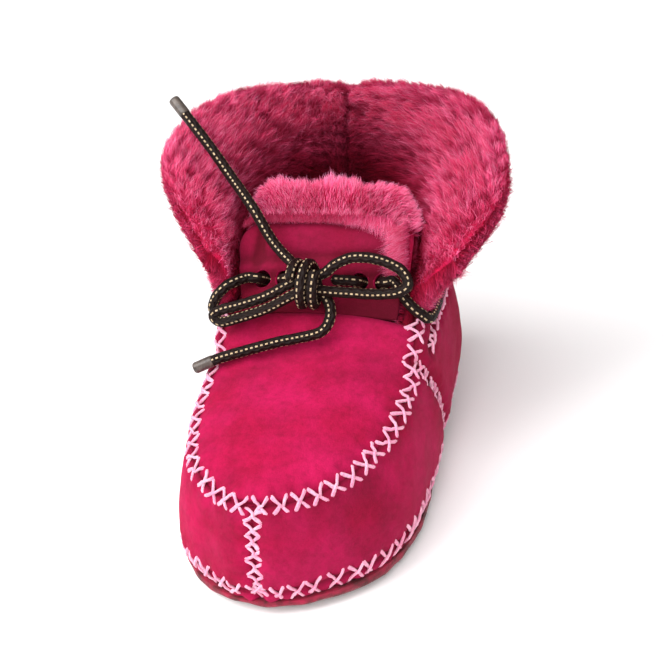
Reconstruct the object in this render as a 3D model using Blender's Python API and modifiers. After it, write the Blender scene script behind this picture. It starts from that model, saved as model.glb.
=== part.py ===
"""Sheepskin baby bootie: a soft moccasin with a turned-out fleece cuff and a tied lace.

The toe points along -Y, the heel along +Y, and the sole rests on z = 0.
The upper is one hollow skin: a wall that runs round the foot, and a vamp set
into its front. Both come from the last: an outline at the sole joint, an
outline at the top edge and a swell between them.
"""

import math

import bmesh
import bpy
import numpy as np
from mathutils import Vector

# Sizes, in metres
LENGTH = 0.124
BALL_WIDTH = 0.070
ANKLE_HEIGHT = 0.050
TOE_SWING = 0.0045

SKIN = 0.0026
GAP = 0.0003

# The sole and the footbed in it
SOLE_JOINT = 0.0048
SOLE_INSET = 0.0039
SOLE_THICKNESS = 0.0024
SOLE_ROUNDING = 0.0042
SOLE_WELT = 0.0015
TOE_SPRING = 0.0016
TOE_SPRING_SHARE = 0.14
INSOLE_THICKNESS = 0.0060
INSOLE_MARGIN = 0.0012
INSOLE_BEVEL = 0.0015
INSOLE_CROWN = 0.0060

# The upper. A share above 1 ends the toe's trough below the top edge.
TOE_SETBACK = 0.0070
HEEL_SETBACK = 0.0050
SWELL = 0.0052
SEAM_DEPTH = 0.0014
SEAM_WIDTH = 0.0032
TOE_SEAM_SHARE = 1.15
SIDE_SEAM_SHARE = 0.6
SIDE_SEAM_FOOT = 0.16 * LENGTH / 2
SIDE_SEAM_HEAD = -0.16 * LENGTH / 2
VAMP_CROWN = 0.0052
VAMP_CROWN_POWER = 2.4
VAMP_CROWN_FULL = 0.3 * BALL_WIDTH
VAMP_DIP_SHARE = 0.5
THROAT_FLATTER = 0.30

# The tongue and the wool behind it
TONGUE_LENGTH = 0.0230
TONGUE_WIDTH = 0.0440
TONGUE_FOOT_SHARE = 0.93
TONGUE_CORNER = 0.0075
TONGUE_LEAN = math.radians(54)
TONGUE_TURN = 0.0060
TONGUE_THICKNESS = 0.0022
TONGUE_SLIP = 0.0015
TONGUE_FLEECE = 0.0065
TONGUE_FLEECE_LEAST = 0.0004
TONGUE_FLEECE_START = 0.52 * TONGUE_LENGTH
TONGUE_TUFT = 0.0110
WOOL_WIDTH = 0.0432
WOOL_CORNER = 0.01125
WOOL_SLIP = 0.0015
WOOL_AHEAD = 0.0010

# The cuff, its wool and the tufts of the wool
CUFF_START = math.radians(5)
CUFF_REACH = 0.018
CUFF_CLIMB = 0.034
CUFF_SLUMP = 0.004
CUFF_HANDLE = 0.38
CUFF_THICKNESS = 0.0020
CUFF_FLEECE = 0.0090
CUFF_OVERHANG = 0.0040
FRONT_SHARE = 0.30
BACK_SEAM_WAY = 0.035
BACK_SEAM_DEPTH = 0.45
LOCK = 0.0022

# The lace and the tongue's holes
LACE_DIAMETER = 0.0028
LACE_HOLE = 0.0046
OUTER_HOLE = 0.0160
INNER_HOLE = 0.0100
HOLE_HEIGHT = 0.0085
LACE_TURN = math.radians(11)
ANKLE_LACE_RISE = 0.935
KNOT_CLEAR_RIGHT = 0.0036
KNOT_CLEAR_LEFT = 0.0060
KNOT_RADIUS = 0.0051
KNOT_PITCH = 0.0033
KNOT_TURNS = 1.35

# How finely the surfaces are divided
COLUMNS = 64
WALL_ROWS = 8
VAMP_LANES = 12
TONGUE_ROWS = 9
TONGUE_LANES = 14
TONGUE_FLEECE_ROWS = 8
TONGUE_FLEECE_LANES = 16
CUFF_ROWS = 4
CUFF_COLUMNS = 64
WOOL_ROWS = 8
HOLE_SIDES = 16
KNOT_STEPS = 24

# The last, from toe to heel.
# Columns: station along the outline, half width at the sole joint and at the
# top edge as shares of BALL_WIDTH (of the ellipse that fits there), height of
# the top edge as a share of ANKLE_HEIGHT, and swell as a share of SWELL.
LAST = [
    (0.00, 0.492, 0.458, 0.606, 0.62),
    (0.10, 0.515, 0.448, 0.625, 0.60),
    (0.25, 0.462, 0.417, 0.685, 0.60),
    (0.40, 0.402, 0.388, 0.755, 0.80),
    (0.52, 0.384, 0.368, 0.925, 0.85),
    (0.65, 0.378, 0.380, 1.000, 1.10),
    (0.80, 0.418, 0.428, 1.000, 1.15),
    (1.00, 0.440, 0.450, 1.000, 1.00),
]
STATION, SOLE_HALF, TOP_HALF, TOP_HEIGHT, SWELL_SHARE = range(5)

# Where the top edge leaves the vamp for the ankle opening
THROAT_STATION = 0.50

# The cuff, from its front corner to the back of the ankle.
# Columns: way round from corner to back, how far the rim stands out as a share
# of CUFF_REACH, how high as a share of CUFF_CLIMB, the slope above level at the
# root and at the rim, in degrees, the depth of the wool at the root and beyond
# it as shares of CUFF_FLEECE, and the sideways slump as a share of CUFF_SLUMP.
CUFF = [
    (0.00, 0.44, 0.37, 60, 36, 0.12, 0.30, 0.85),
    (0.10, 0.92, 0.60, 62, 26, 0.12, 0.80, 0.80),
    (0.25, 1.12, 0.76, 66, 26, 0.10, 0.95, 0.20),
    (0.45, 0.94, 0.94, 80, 40, 0.40, 1.00, 0.00),
    (0.70, 0.44, 0.97, 90, 60, 0.55, 1.05, 0.00),
    (1.00, 0.10, 0.97, 92, 70, 0.60, 1.10, 0.00),
]
AROUND, REACH, CLIMB, ROOT_SLOPE, RIM_SLOPE, ROOT_WOOL, WOOL, SLUMP = range(8)

# The wool's round edge past the rim, from its top to its underside.
# Columns: how far beyond the rim as a share of CUFF_OVERHANG, and how high as a
# share of the wool's depth.
RIM_ROUND = [
    (0.55, 0.88),
    (0.90, 0.62),
    (1.00, 0.32),
    (0.80, 0.06),
]

# Where the lace's loose parts run, in metres, from the knot outwards.
LOOP_LEFT = [
    (-0.0021, 0.0014, 0.0592), (-0.0060, 0.0002, 0.0584), (-0.0120, -0.0012, 0.0556),
    (-0.0190, -0.0020, 0.0532), (-0.0240, -0.0022, 0.0518), (-0.0268, -0.0030, 0.0496),
    (-0.0243, -0.0036, 0.0476), (-0.0190, -0.0036, 0.0490), (-0.0120, -0.0032, 0.0516),
    (-0.0060, -0.0021, 0.0548), (-0.0021, -0.0006, 0.0567),
]
LOOP_RIGHT = [
    (-0.0009, 0.0014, 0.0592), (0.0030, 0.0016, 0.0603), (0.0060, 0.0024, 0.0626),
    (0.0105, 0.0036, 0.0640), (0.0168, 0.0038, 0.0635), (0.0224, 0.0028, 0.0614),
    (0.0246, 0.0006, 0.0586), (0.0220, -0.0008, 0.0569), (0.0160, -0.0012, 0.0564),
    (0.0104, -0.0012, 0.0566), (0.0050, -0.0011, 0.0567), (-0.0009, -0.0006, 0.0567),
]
END_LONG = [
    (-0.0069, 0.0062, 0.0609), (-0.0124, 0.0101, 0.0646), (-0.0175, 0.0134, 0.0722),
    (-0.0248, 0.0208, 0.0771), (-0.0303, 0.0244, 0.0832), (-0.0362, 0.0282, 0.0890),
    (-0.0420, 0.0325, 0.0938),
]
END_SHORT = [
    (0.0046, -0.0018, 0.0534), (0.0049, -0.0040, 0.0507), (0.0028, -0.0062, 0.0479),
    (-0.0030, -0.0070, 0.0463), (-0.0085, -0.0080, 0.0454), (-0.0184, -0.0100, 0.0431),
    (-0.0245, -0.0110, 0.0413), (-0.0305, -0.0120, 0.0388),
]
LACE_CORNER = [(0.0236, 0.0022, 0.0525), (0.0268, 0.0018, 0.0494), (0.0290, 0.0048, 0.0470)]
KNOT_MIDDLE = (-0.0015, 0.0003, 0.0579)

SUEDE_PINK = (0.78, 0.03, 0.22, 1.0)
FLEECE_PINK = (0.86, 0.12, 0.32, 1.0)
SOLE_TAN = (0.52, 0.42, 0.36, 1.0)
LACE_BROWN = (0.035, 0.022, 0.02, 1.0)


def along(table, column, at):
    """The value of a table's column at a place in its first column, on a smooth curve."""
    xs = [row[0] for row in table]
    ys = [row[column] for row in table]
    at = min(max(at, xs[0]), xs[-1])
    i = max(k for k in range(len(xs) - 1) if xs[k] <= at)
    step = xs[i + 1] - xs[i]
    t = (at - xs[i]) / step

    def slope(k):
        low, high = max(k - 1, 0), min(k + 1, len(xs) - 1)
        return (ys[high] - ys[low]) / (xs[high] - xs[low]) * step

    a, b = slope(i), slope(i + 1)
    rise = ys[i + 1] - ys[i]
    return ys[i] + a * t + (3 * rise - 2 * a - b) * t**2 + (a + b - 2 * rise) * t**3


def swing(y):
    """How far the last leans sideways at y: the toe turns a little inwards."""
    ahead = max(0.0, -y / (LENGTH / 2))
    return -TOE_SWING * ahead**2


def outline(angle, half_column, front, back):
    """A point of an outline in plan. The angle runs from the toe by the heel to the toe."""
    station = (1 - math.cos(angle)) / 2
    half = along(LAST, half_column, station) * BALL_WIDTH
    y = front + (back - front) * station
    return Vector((half * math.sin(angle), y, 0))


def sole_edge(angle):
    """A point of the sole joint."""
    point = outline(angle, SOLE_HALF, -LENGTH / 2 + SOLE_INSET, LENGTH / 2 - SOLE_INSET)
    point.z = SOLE_JOINT
    return point


def top_edge(angle):
    """A point of the wall's top edge."""
    point = outline(angle, TOP_HALF, -LENGTH / 2 + TOE_SETBACK, LENGTH / 2 - HEEL_SETBACK)
    station = (1 - math.cos(angle)) / 2
    point.z = along(LAST, TOP_HEIGHT, station) * ANKLE_HEIGHT
    return point


def outward(edge, angle):
    """The level direction that points out of an edge of the last."""
    step = 0.01
    run = edge(angle + step) - edge(angle - step)
    return Vector((run.y, -run.x, 0)).normalized()


def side_seam_gap(point):
    """How far a wall point lies from the seam between side panel and quarter, along Y."""
    share = (point.z - SOLE_JOINT) / (ANKLE_HEIGHT - SOLE_JOINT)
    seam_y = SIDE_SEAM_FOOT * (1 - share) + SIDE_SEAM_HEAD * share
    return point.y - seam_y


def trough(gap):
    return math.exp(-((gap / SEAM_WIDTH) ** 2))


def toe_seam(point, rise, station):
    """How deep the seam at the toe sinks into the wall, from 0 to 1."""
    if station > THROAT_STATION:
        return 0.0
    depth = math.sin(math.pi * min(1.0, rise * TOE_SEAM_SHARE)) ** 0.5
    return trough(abs(point.x)) * depth


def wall_point(angle, rise):
    """A point of the wall's outer face, from the sole joint at rise 0 to the top edge at 1."""
    foot, head = sole_edge(angle), top_edge(angle)
    out = (outward(sole_edge, angle) + outward(top_edge, angle)).normalized()
    station = (1 - math.cos(angle)) / 2
    swell = along(LAST, SWELL_SHARE, station) * SWELL
    belly = math.sin(math.pi * rise**0.85) ** 0.75
    point = foot.lerp(head, rise) + out * swell * belly
    side_seam = trough(side_seam_gap(point)) * SIDE_SEAM_SHARE
    sunk = max(toe_seam(point, rise, station), side_seam)
    point -= out * sunk * SEAM_DEPTH
    point.x += swing(point.y)
    return point


def ring_angles():
    """The angles of the last's columns."""
    return [2 * math.pi * k / COLUMNS for k in range(COLUMNS)]


def new_object(name, mesh, colour, roughness):
    """A smooth object of its own material from a mesh."""
    obj = bpy.data.objects.new(name, mesh)
    part_collection.objects.link(obj)
    material = bpy.data.materials.new(name)
    material.use_nodes = True
    shader = material.node_tree.nodes["Principled BSDF"]
    shader.inputs["Base Color"].default_value = colour
    shader.inputs["Roughness"].default_value = roughness
    mesh.materials.append(material)
    mesh.shade_smooth()
    mesh.set_sharp_from_angle(angle=math.radians(40))
    return obj


def skin_over(obj, thickness, side):
    """Gives an open surface its wall. Side -1 puts the wall inside the surface, 1 outside."""
    solidify = obj.modifiers.new("wall", "SOLIDIFY")
    solidify.thickness = thickness
    solidify.offset = side
    solidify.use_quality_normals = True


def build_upper():
    """The wall and the vamp as one open surface, thickened inwards."""
    bm = bmesh.new()
    angles = ring_angles()
    rows = []
    for k in range(WALL_ROWS + 1):
        rise = k / WALL_ROWS
        rows.append([bm.verts.new(wall_point(angle, rise)) for angle in angles])
    for low, high in zip(rows, rows[1:]):
        for i in range(COLUMNS):
            j = (i + 1) % COLUMNS
            bm.faces.new((low[i], low[j], high[j], high[i]))
    top = rows[-1]
    last = throat_column()
    lanes_before = [top[0]]
    for i in range(1, last + 1):
        right, left = top[i], top[-i]
        lanes = [right]
        for k in range(1, VAMP_LANES):
            lanes.append(bm.verts.new(vamp_point(right.co, left.co, k / VAMP_LANES)))
        lanes.append(left)
        for k in range(VAMP_LANES):
            if i == 1:
                bm.faces.new((lanes_before[0], lanes[k], lanes[k + 1]))
            else:
                bm.faces.new((lanes_before[k], lanes[k], lanes[k + 1], lanes_before[k + 1]))
        lanes_before = lanes
    bmesh.ops.recalc_face_normals(bm, faces=bm.faces)
    mesh = bpy.data.meshes.new("upper")
    bm.to_mesh(mesh)
    bm.free()
    upper = new_object("upper", mesh, SUEDE_PINK, 0.9)
    skin_over(upper, SKIN, -1)
    return upper


def throat_column():
    """The last column of the top edge that the vamp reaches."""
    angle = math.acos(1 - 2 * THROAT_STATION)
    return round(angle / (2 * math.pi) * COLUMNS)


def vamp_crown(half, station):
    """How high the vamp's middle stands over its seams: full at the ball, less at the throat."""
    fullness = min(1.0, half / VAMP_CROWN_FULL)
    return VAMP_CROWN * fullness * (1 - THROAT_FLATTER * (station / THROAT_STATION) ** 2)


def vamp_point(right, left, share):
    """A point across the vamp, from its right seam, share 0, to its left, share 1."""
    point = right.lerp(left, share)
    length = LENGTH - TOE_SETBACK - HEEL_SETBACK
    station = (right.y + LENGTH / 2 - TOE_SETBACK) / length
    half = (right.x - left.x) / 2
    crown = vamp_crown(half, station)
    across = 2 * share - 1
    point.z += crown * (1 - abs(across) ** VAMP_CROWN_POWER)
    point.z -= SEAM_DEPTH * VAMP_DIP_SHARE * trough((1 - abs(across)) * half)
    return point


def ladder(bm, loop):
    """Closes a loop of the last with strips from its right side to its left."""
    half = len(loop) // 2
    bm.faces.new((loop[0], loop[1], loop[-1]))
    for i in range(1, half - 1):
        bm.faces.new((loop[i], loop[i + 1], loop[-i - 1], loop[-i]))
    bm.faces.new((loop[half - 1], loop[half], loop[half + 1]))


def stacked(name, levels, colour, roughness):
    """A closed solid from loops that follow the last, each capped by strips at the ends."""
    bm = bmesh.new()
    loops = [[bm.verts.new(p) for p in loop] for loop in levels]
    for low, high in zip(loops, loops[1:]):
        for i in range(COLUMNS):
            j = (i + 1) % COLUMNS
            bm.faces.new((low[i], low[j], high[j], high[i]))
    ladder(bm, loops[0])
    ladder(bm, loops[-1])
    bmesh.ops.recalc_face_normals(bm, faces=bm.faces)
    mesh = bpy.data.meshes.new(name)
    bm.to_mesh(mesh)
    bm.free()
    return new_object(name, mesh, colour, roughness)


def sole_loop(inset, height):
    """A loop inside the sole's outline. Near the toe the sole springs up."""
    loop = []
    for angle in ring_angles():
        edge = sole_edge(angle)
        point = edge + outward(sole_edge, angle) * (SOLE_WELT - inset)
        station = (1 - math.cos(angle)) / 2
        lift = TOE_SPRING * max(0.0, 1 - station / TOE_SPRING_SHARE) ** 2
        point.z = height + lift * (1 - height / SOLE_JOINT)
        point.x += swing(point.y)
        loop.append(point)
    return loop


def build_outsole():
    """A shallow tray of leather, turned up to meet the wall. Each step is an inset and a height."""
    rim = SOLE_JOINT - GAP
    steps = [
        (SOLE_ROUNDING, 0.0),
        (SOLE_ROUNDING * 0.45, SOLE_ROUNDING * 0.16),
        (SOLE_ROUNDING * 0.12, SOLE_ROUNDING * 0.5),
        (0.0, rim),
        (SOLE_THICKNESS + SOLE_WELT, rim),
        (SOLE_THICKNESS * 1.15 + SOLE_WELT, SOLE_THICKNESS * 1.4),
        (SOLE_ROUNDING + SOLE_THICKNESS * 0.7, SOLE_THICKNESS),
    ]
    return stacked("outsole", [sole_loop(*step) for step in steps], SOLE_TAN, 0.85)


def build_insole():
    """The fleece footbed that lies in the sole's tray. Each step is an inset and a height."""
    foot = SOLE_THICKNESS + GAP
    inset = SKIN + INSOLE_MARGIN + SOLE_WELT
    steps = [
        (SOLE_ROUNDING + SOLE_THICKNESS, foot),
        (inset + INSOLE_BEVEL, foot + INSOLE_THICKNESS * 0.4),
        (inset, foot + INSOLE_THICKNESS * 0.65),
        (inset + INSOLE_BEVEL, foot + INSOLE_THICKNESS * 0.95),
        (inset + INSOLE_CROWN, foot + INSOLE_THICKNESS),
    ]
    return stacked("insole", [sole_loop(*step) for step in steps], FLEECE_PINK, 1.0)


def throat_angle():
    """Where the vamp ends, as an angle of the last."""
    return 2 * math.pi * throat_column() / COLUMNS


def cuff_frame(way):
    """Root and outward direction of the cuff. The way is -1 and 1 at the corners, 0 at the back."""
    start = throat_angle() + CUFF_START
    angle = math.pi + way * (math.pi - start)
    root = top_edge(angle)
    out = outward(top_edge, angle)
    root.x += swing(root.y)
    return root, out


def cuff_bend(way):
    """The four handles of the cuff's curved section, out and up from its root, and its length."""
    share = 1 - abs(way)
    side = -1 if way > 0 else 1
    slump = side * along(CUFF, SLUMP, share) * CUFF_SLUMP
    reach = along(CUFF, REACH, share) * CUFF_REACH + slump
    climb = along(CUFF, CLIMB, share) * CUFF_CLIMB
    low = math.radians(along(CUFF, ROOT_SLOPE, share))
    high = math.radians(along(CUFF, RIM_SLOPE, share))
    handle = math.hypot(reach, climb) * CUFF_HANDLE
    raised = GAP + CUFF_THICKNESS * max(0.0, math.cos(low))
    root = Vector((-CUFF_THICKNESS * math.sin(low), raised))
    rim = root + Vector((reach, climb))
    after = root + handle * Vector((math.cos(low), math.sin(low)))
    before = rim - handle * Vector((math.cos(high), math.sin(high)))
    return root, after, before, rim, math.hypot(reach, climb)


def cuff_point(way, t, lift):
    """A point on the cuff at t of its section, lifted off its inner face towards the wool."""
    edge, out = cuff_frame(way)
    a, b, c, d, length = cuff_bend(way)
    at = min(t, 1.0)
    rest = 1 - at
    place = a * rest**3 + b * 3 * rest**2 * at + c * 3 * rest * at**2 + d * at**3
    run = (b - a) * rest**2 + (c - b) * 2 * rest * at + (d - c) * at**2
    run.normalize()
    place += run * (t - at) * length
    place += Vector((-run.y, run.x)) * lift
    return edge + out * place.x + Vector((0, 0, place.y))


def shell(name, section, ways, colour, roughness):
    """A closed solid swept along the cuff. The section gives a ring of points for each way."""
    bm = bmesh.new()
    rings = [[bm.verts.new(p) for p in section(way)] for way in ways]
    count = len(rings[0])
    for low, high in zip(rings, rings[1:]):
        for i in range(count):
            j = (i + 1) % count
            bm.faces.new((low[i], low[j], high[j], high[i]))
    bm.faces.new(rings[0])
    bm.faces.new(rings[-1])
    bm.normal_update()
    bmesh.ops.triangulate(bm, faces=[f for f in bm.faces if len(f.verts) > 4])
    bmesh.ops.recalc_face_normals(bm, faces=bm.faces)
    mesh = bpy.data.meshes.new(name)
    bm.to_mesh(mesh)
    bm.free()
    return new_object(name, mesh, colour, roughness)


def cuff_section(way):
    """The leather's ring of points: its inner face up to the rim, then its outer face down."""
    inner = [cuff_point(way, k / CUFF_ROWS, 0.0) for k in range(CUFF_ROWS + 1)]
    outer = [cuff_point(way, k / CUFF_ROWS, -CUFF_THICKNESS) for k in range(CUFF_ROWS + 1)]
    return inner + outer[::-1]


def cuff_ways():
    """The ways of the cuff's columns."""
    return [2 * k / CUFF_COLUMNS - 1 for k in range(CUFF_COLUMNS + 1)]


def build_cuff():
    """The leather band that turns out from the ankle."""
    return shell("cuff", cuff_section, cuff_ways(), SUEDE_PINK, 0.9)


def lock_height(column, row):
    """How far a tuft stands out: every other point of the wool, unevenly."""
    if (column + row) % 2:
        return 0.0
    return LOCK * (0.55 + 0.45 * math.sin(2.1 * column + 1.3 * row) * math.cos(0.7 * column - 2.2 * row))


def wool_section(way):
    """The wool's ring of points: its top up to the rim, round the rim, and its underside down."""
    column = round((way + 1) / 2 * CUFF_COLUMNS)
    share = 1 - abs(way)
    width = cuff_bend(way)[-1]
    deep = along(CUFF, WOOL, share) * CUFF_FLEECE
    thin = along(CUFF, ROOT_WOOL, share) * CUFF_FLEECE
    beyond_rim = CUFF_OVERHANG / width * along(CUFF, WOOL, share)
    seam = 1 - BACK_SEAM_DEPTH * math.exp(-((way / BACK_SEAM_WAY) ** 2))
    late = max(0.0, 1 - share / FRONT_SHARE)
    points = []
    for row in range(WOOL_ROWS + 1):
        t = row / WOOL_ROWS
        swollen = min(1.0, t / (0.5 + 0.5 * late))
        rise = thin + (deep - thin) * math.sin(math.pi / 2 * swollen) ** (1 + late)
        lock = lock_height(column, row) * (rise / CUFF_FLEECE) ** 2
        points.append(cuff_point(way, t + 0.02, rise * seam + lock))
    for row, (beyond, height) in enumerate(RIM_ROUND):
        lock = lock_height(column, row + WOOL_ROWS + 1)
        t = 1 + (beyond_rim + lock / width) * beyond
        points.append(cuff_point(way, t, (deep * seam + lock) * height))
    for row in range(CUFF_ROWS, -1, -1):
        points.append(cuff_point(way, row / CUFF_ROWS, GAP * (1 + 2 * late)))
    return points


def build_cuff_fleece():
    """The cuff's wool, thick over the rim and thin at the front corners, with a seam at the back."""
    return shell("cuff_fleece", wool_section, cuff_ways(), FLEECE_PINK, 1.0)


def throat():
    """Half width, place and slope of the vamp's end."""
    column = throat_column()
    right = top_edge(2 * math.pi * column / COLUMNS)
    before = top_edge(2 * math.pi * (column - 1) / COLUMNS)
    slope = math.atan2(right.z - before.z, right.y - before.y)
    crown = vamp_crown(right.x, THROAT_STATION)
    return right.x, right.y, right.z + crown, slope, crown


def tongue_lean(height):
    """The tongue's slope at a height: it leaves the vamp along it and soon bends up."""
    slope = throat()[3]
    return slope + (TONGUE_LEAN - slope) * min(height, TONGUE_TURN) / TONGUE_TURN


def tongue_point(side, height, lift):
    """A point on the tongue: sideways, up along the tongue, and lifted off its face."""
    half, y, z, slope, crown = throat()
    run, climb = GAP * math.cos(slope), GAP * math.sin(slope)
    steps = 12
    for k in range(steps):
        lean = tongue_lean((k + 0.5) / steps * height)
        run += height / steps * math.cos(lean)
        climb += height / steps * math.sin(lean)
    lean = tongue_lean(height)
    lift -= crown * abs(side / half) ** VAMP_CROWN_POWER
    y += run - math.sin(lean) * lift
    z += climb + math.cos(lean) * lift
    return Vector((side + swing(throat()[1]), y, z))


def tongue_half(height, width, length, corner):
    """Half the tongue's width at a height, with rounded top corners."""
    spread = min(1.0, height / (length / 2))
    base = width / 2 * (TONGUE_FOOT_SHARE + (1 - TONGUE_FOOT_SHARE) * spread)
    left = length - height
    if left >= corner:
        return base
    return base - corner + math.sqrt(max(0.0, corner**2 - (corner - left) ** 2))


def plate(name, rows, lanes, point, colour, roughness):
    """A closed plate from a grid of points on its front, face 0, and its back, face 1."""
    bm = bmesh.new()

    def grid(face):
        return [[bm.verts.new(point(r, k, face)) for k in range(lanes + 1)] for r in range(rows + 1)]

    front, back = grid(0), grid(1)
    for r in range(rows):
        for k in range(lanes):
            bm.faces.new((front[r][k], front[r][k + 1], front[r + 1][k + 1], front[r + 1][k]))
            bm.faces.new((back[r][k], back[r + 1][k], back[r + 1][k + 1], back[r][k + 1]))
    for r in range(rows):
        bm.faces.new((front[r][0], front[r + 1][0], back[r + 1][0], back[r][0]))
        bm.faces.new((front[r][lanes], back[r][lanes], back[r + 1][lanes], front[r + 1][lanes]))
    for k in range(lanes):
        bm.faces.new((front[0][k], back[0][k], back[0][k + 1], front[0][k + 1]))
        bm.faces.new((front[rows][k], front[rows][k + 1], back[rows][k + 1], back[rows][k]))
    bmesh.ops.recalc_face_normals(bm, faces=bm.faces)
    mesh = bpy.data.meshes.new(name)
    bm.to_mesh(mesh)
    bm.free()
    return new_object(name, mesh, colour, roughness)


def build_tongue():
    """The tongue carries on the vamp behind the throat, and has four lace holes."""

    def point(row, lane, face):
        height = TONGUE_LENGTH * (1 - (1 - row / TONGUE_ROWS) ** 1.5)
        half = tongue_half(height, TONGUE_WIDTH, TONGUE_LENGTH, TONGUE_CORNER)
        side = half * (2 * lane / TONGUE_LANES - 1) - TONGUE_SLIP * height / TONGUE_LENGTH
        return tongue_point(side, height, -face * TONGUE_THICKNESS)

    tongue = plate("tongue", TONGUE_ROWS, TONGUE_LANES, point, SUEDE_PINK, 0.9)
    for side in (-OUTER_HOLE, -INNER_HOLE, INNER_HOLE, OUTER_HOLE):
        cutter = hole_cutter(side)
        cut = tongue.modifiers.new("lace hole", "BOOLEAN")
        cut.operation = "DIFFERENCE"
        cut.solver = "EXACT"
        cut.object = cutter
    return tongue


def hole_cutter(side):
    """A cylinder square to the tongue where a lace hole goes."""
    middle = tongue_point(side, HOLE_HEIGHT, -TONGUE_THICKNESS / 2)
    front = tongue_point(side, HOLE_HEIGHT, 0.0)
    radius, depth = LACE_HOLE / 2, TONGUE_THICKNESS * 4
    bpy.ops.mesh.primitive_cylinder_add(vertices=HOLE_SIDES, radius=radius, depth=depth, location=middle)
    cutter = bpy.context.object
    cutter.name = "lace hole cutter"
    cutter.rotation_mode = "QUATERNION"
    cutter.rotation_quaternion = (front - middle).to_track_quat("Z", "Y")
    cutter.display_type = "WIRE"
    cutter.hide_render = True
    for home in list(cutter.users_collection):
        home.objects.unlink(cutter)
    cutter_collection.objects.link(cutter)
    return cutter


def build_tongue_fleece():
    """The wool behind the tongue. It stands above the leather and leans forward over its edge."""
    length = TONGUE_LENGTH + TONGUE_TUFT

    def point(row, lane, face):
        up = 1 - (1 - row / TONGUE_FLEECE_ROWS) ** 1.6
        height = TONGUE_FLEECE_START + (length - TONGUE_FLEECE_START) * up
        half = tongue_half(height, WOOL_WIDTH, length, WOOL_CORNER)
        across = 2 * lane / TONGUE_FLEECE_LANES - 1
        side = half * across + WOOL_SLIP
        above = max(0.0, (height - TONGUE_LENGTH) / TONGUE_TUFT)
        ahead = min(1.0, 2 * max(0.0, above - 0.2))
        lift = WOOL_AHEAD * ahead - (TONGUE_THICKNESS + 2 * GAP) * (1 - ahead)
        taper = 0.25 + 0.75 * math.sqrt(max(0.0, 1 - above**2.5))
        fullness = 0.35 + 0.65 * (1 - abs(across) ** 4)
        depth = TONGUE_FLEECE_LEAST + TONGUE_FLEECE * taper * fullness
        lock = 0.8 * lock_height(lane, row) * min(1.0, above * 3)
        if face == 0:
            return tongue_point(side, height + lock, lift + lock * 0.3)
        return tongue_point(side, height + lock, lift - depth - lock * 0.6)

    rows, lanes = TONGUE_FLEECE_ROWS, TONGUE_FLEECE_LANES
    return plate("tongue_fleece", rows, lanes, point, FLEECE_PINK, 1.0)


def smooth_route(points, spacing):
    """Points at about equal spacing along a smooth curve through the given points."""
    points = [Vector(p) for p in points]
    ends = [points[0] * 2 - points[1]] + points + [points[-1] * 2 - points[-2]]
    fine = []
    parts = 16
    for a, b, c, d in zip(ends, ends[1:], ends[2:], ends[3:]):
        linear = (c - a) * 0.5
        square = a - 2.5 * b + 2 * c - 0.5 * d
        cube = 1.5 * (b - c) + 0.5 * (d - a)
        for k in range(parts):
            t = k / parts
            fine.append(b + linear * t + square * t**2 + cube * t**3)
    fine.append(points[-1])
    lengths = [0.0]
    for a, b in zip(fine, fine[1:]):
        lengths.append(lengths[-1] + (b - a).length)
    count = max(2, round(lengths[-1] / spacing))
    route = []
    i = 0
    for k in range(count + 1):
        target = lengths[-1] * k / count
        while i < len(fine) - 2 and lengths[i + 1] < target:
            i += 1
        t = (target - lengths[i]) / (lengths[i + 1] - lengths[i])
        route.append(fine[i].lerp(fine[i + 1], t))
    return route


def cord(name, route):
    """A round lace along a route, with closed ends."""
    curve = bpy.data.curves.new(name, "CURVE")
    curve.dimensions = "3D"
    curve.bevel_depth = LACE_DIAMETER / 2
    curve.bevel_resolution = 2
    curve.use_fill_caps = True
    spline = curve.splines.new("POLY")
    spline.points.add(len(route) - 1)
    for place, point in zip(spline.points, route):
        place.co = (*point, 1.0)
    obj = bpy.data.objects.new(name, curve)
    part_collection.objects.link(obj)
    material = bpy.data.materials.new(name)
    material.use_nodes = True
    shader = material.node_tree.nodes["Principled BSDF"]
    shader.inputs["Base Color"].default_value = LACE_BROWN
    shader.inputs["Roughness"].default_value = 0.6
    curve.materials.append(material)
    return obj


def knot_route():
    """One wrap and a third round the roots of the loops."""
    up = Vector((0, math.cos(TONGUE_LEAN), math.sin(TONGUE_LEAN)))
    front = Vector((0, -up.z, up.y))
    middle = Vector(KNOT_MIDDLE)
    route = []
    for k in range(KNOT_STEPS + 1):
        turns = KNOT_TURNS * k / KNOT_STEPS
        angle = 2 * math.pi * turns
        shift = Vector((KNOT_PITCH * (turns - KNOT_TURNS / 2), 0, 0))
        wrap = (front * math.cos(angle) + up * math.sin(angle)) * KNOT_RADIUS
        route.append(middle + shift + wrap)
    return route


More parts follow.
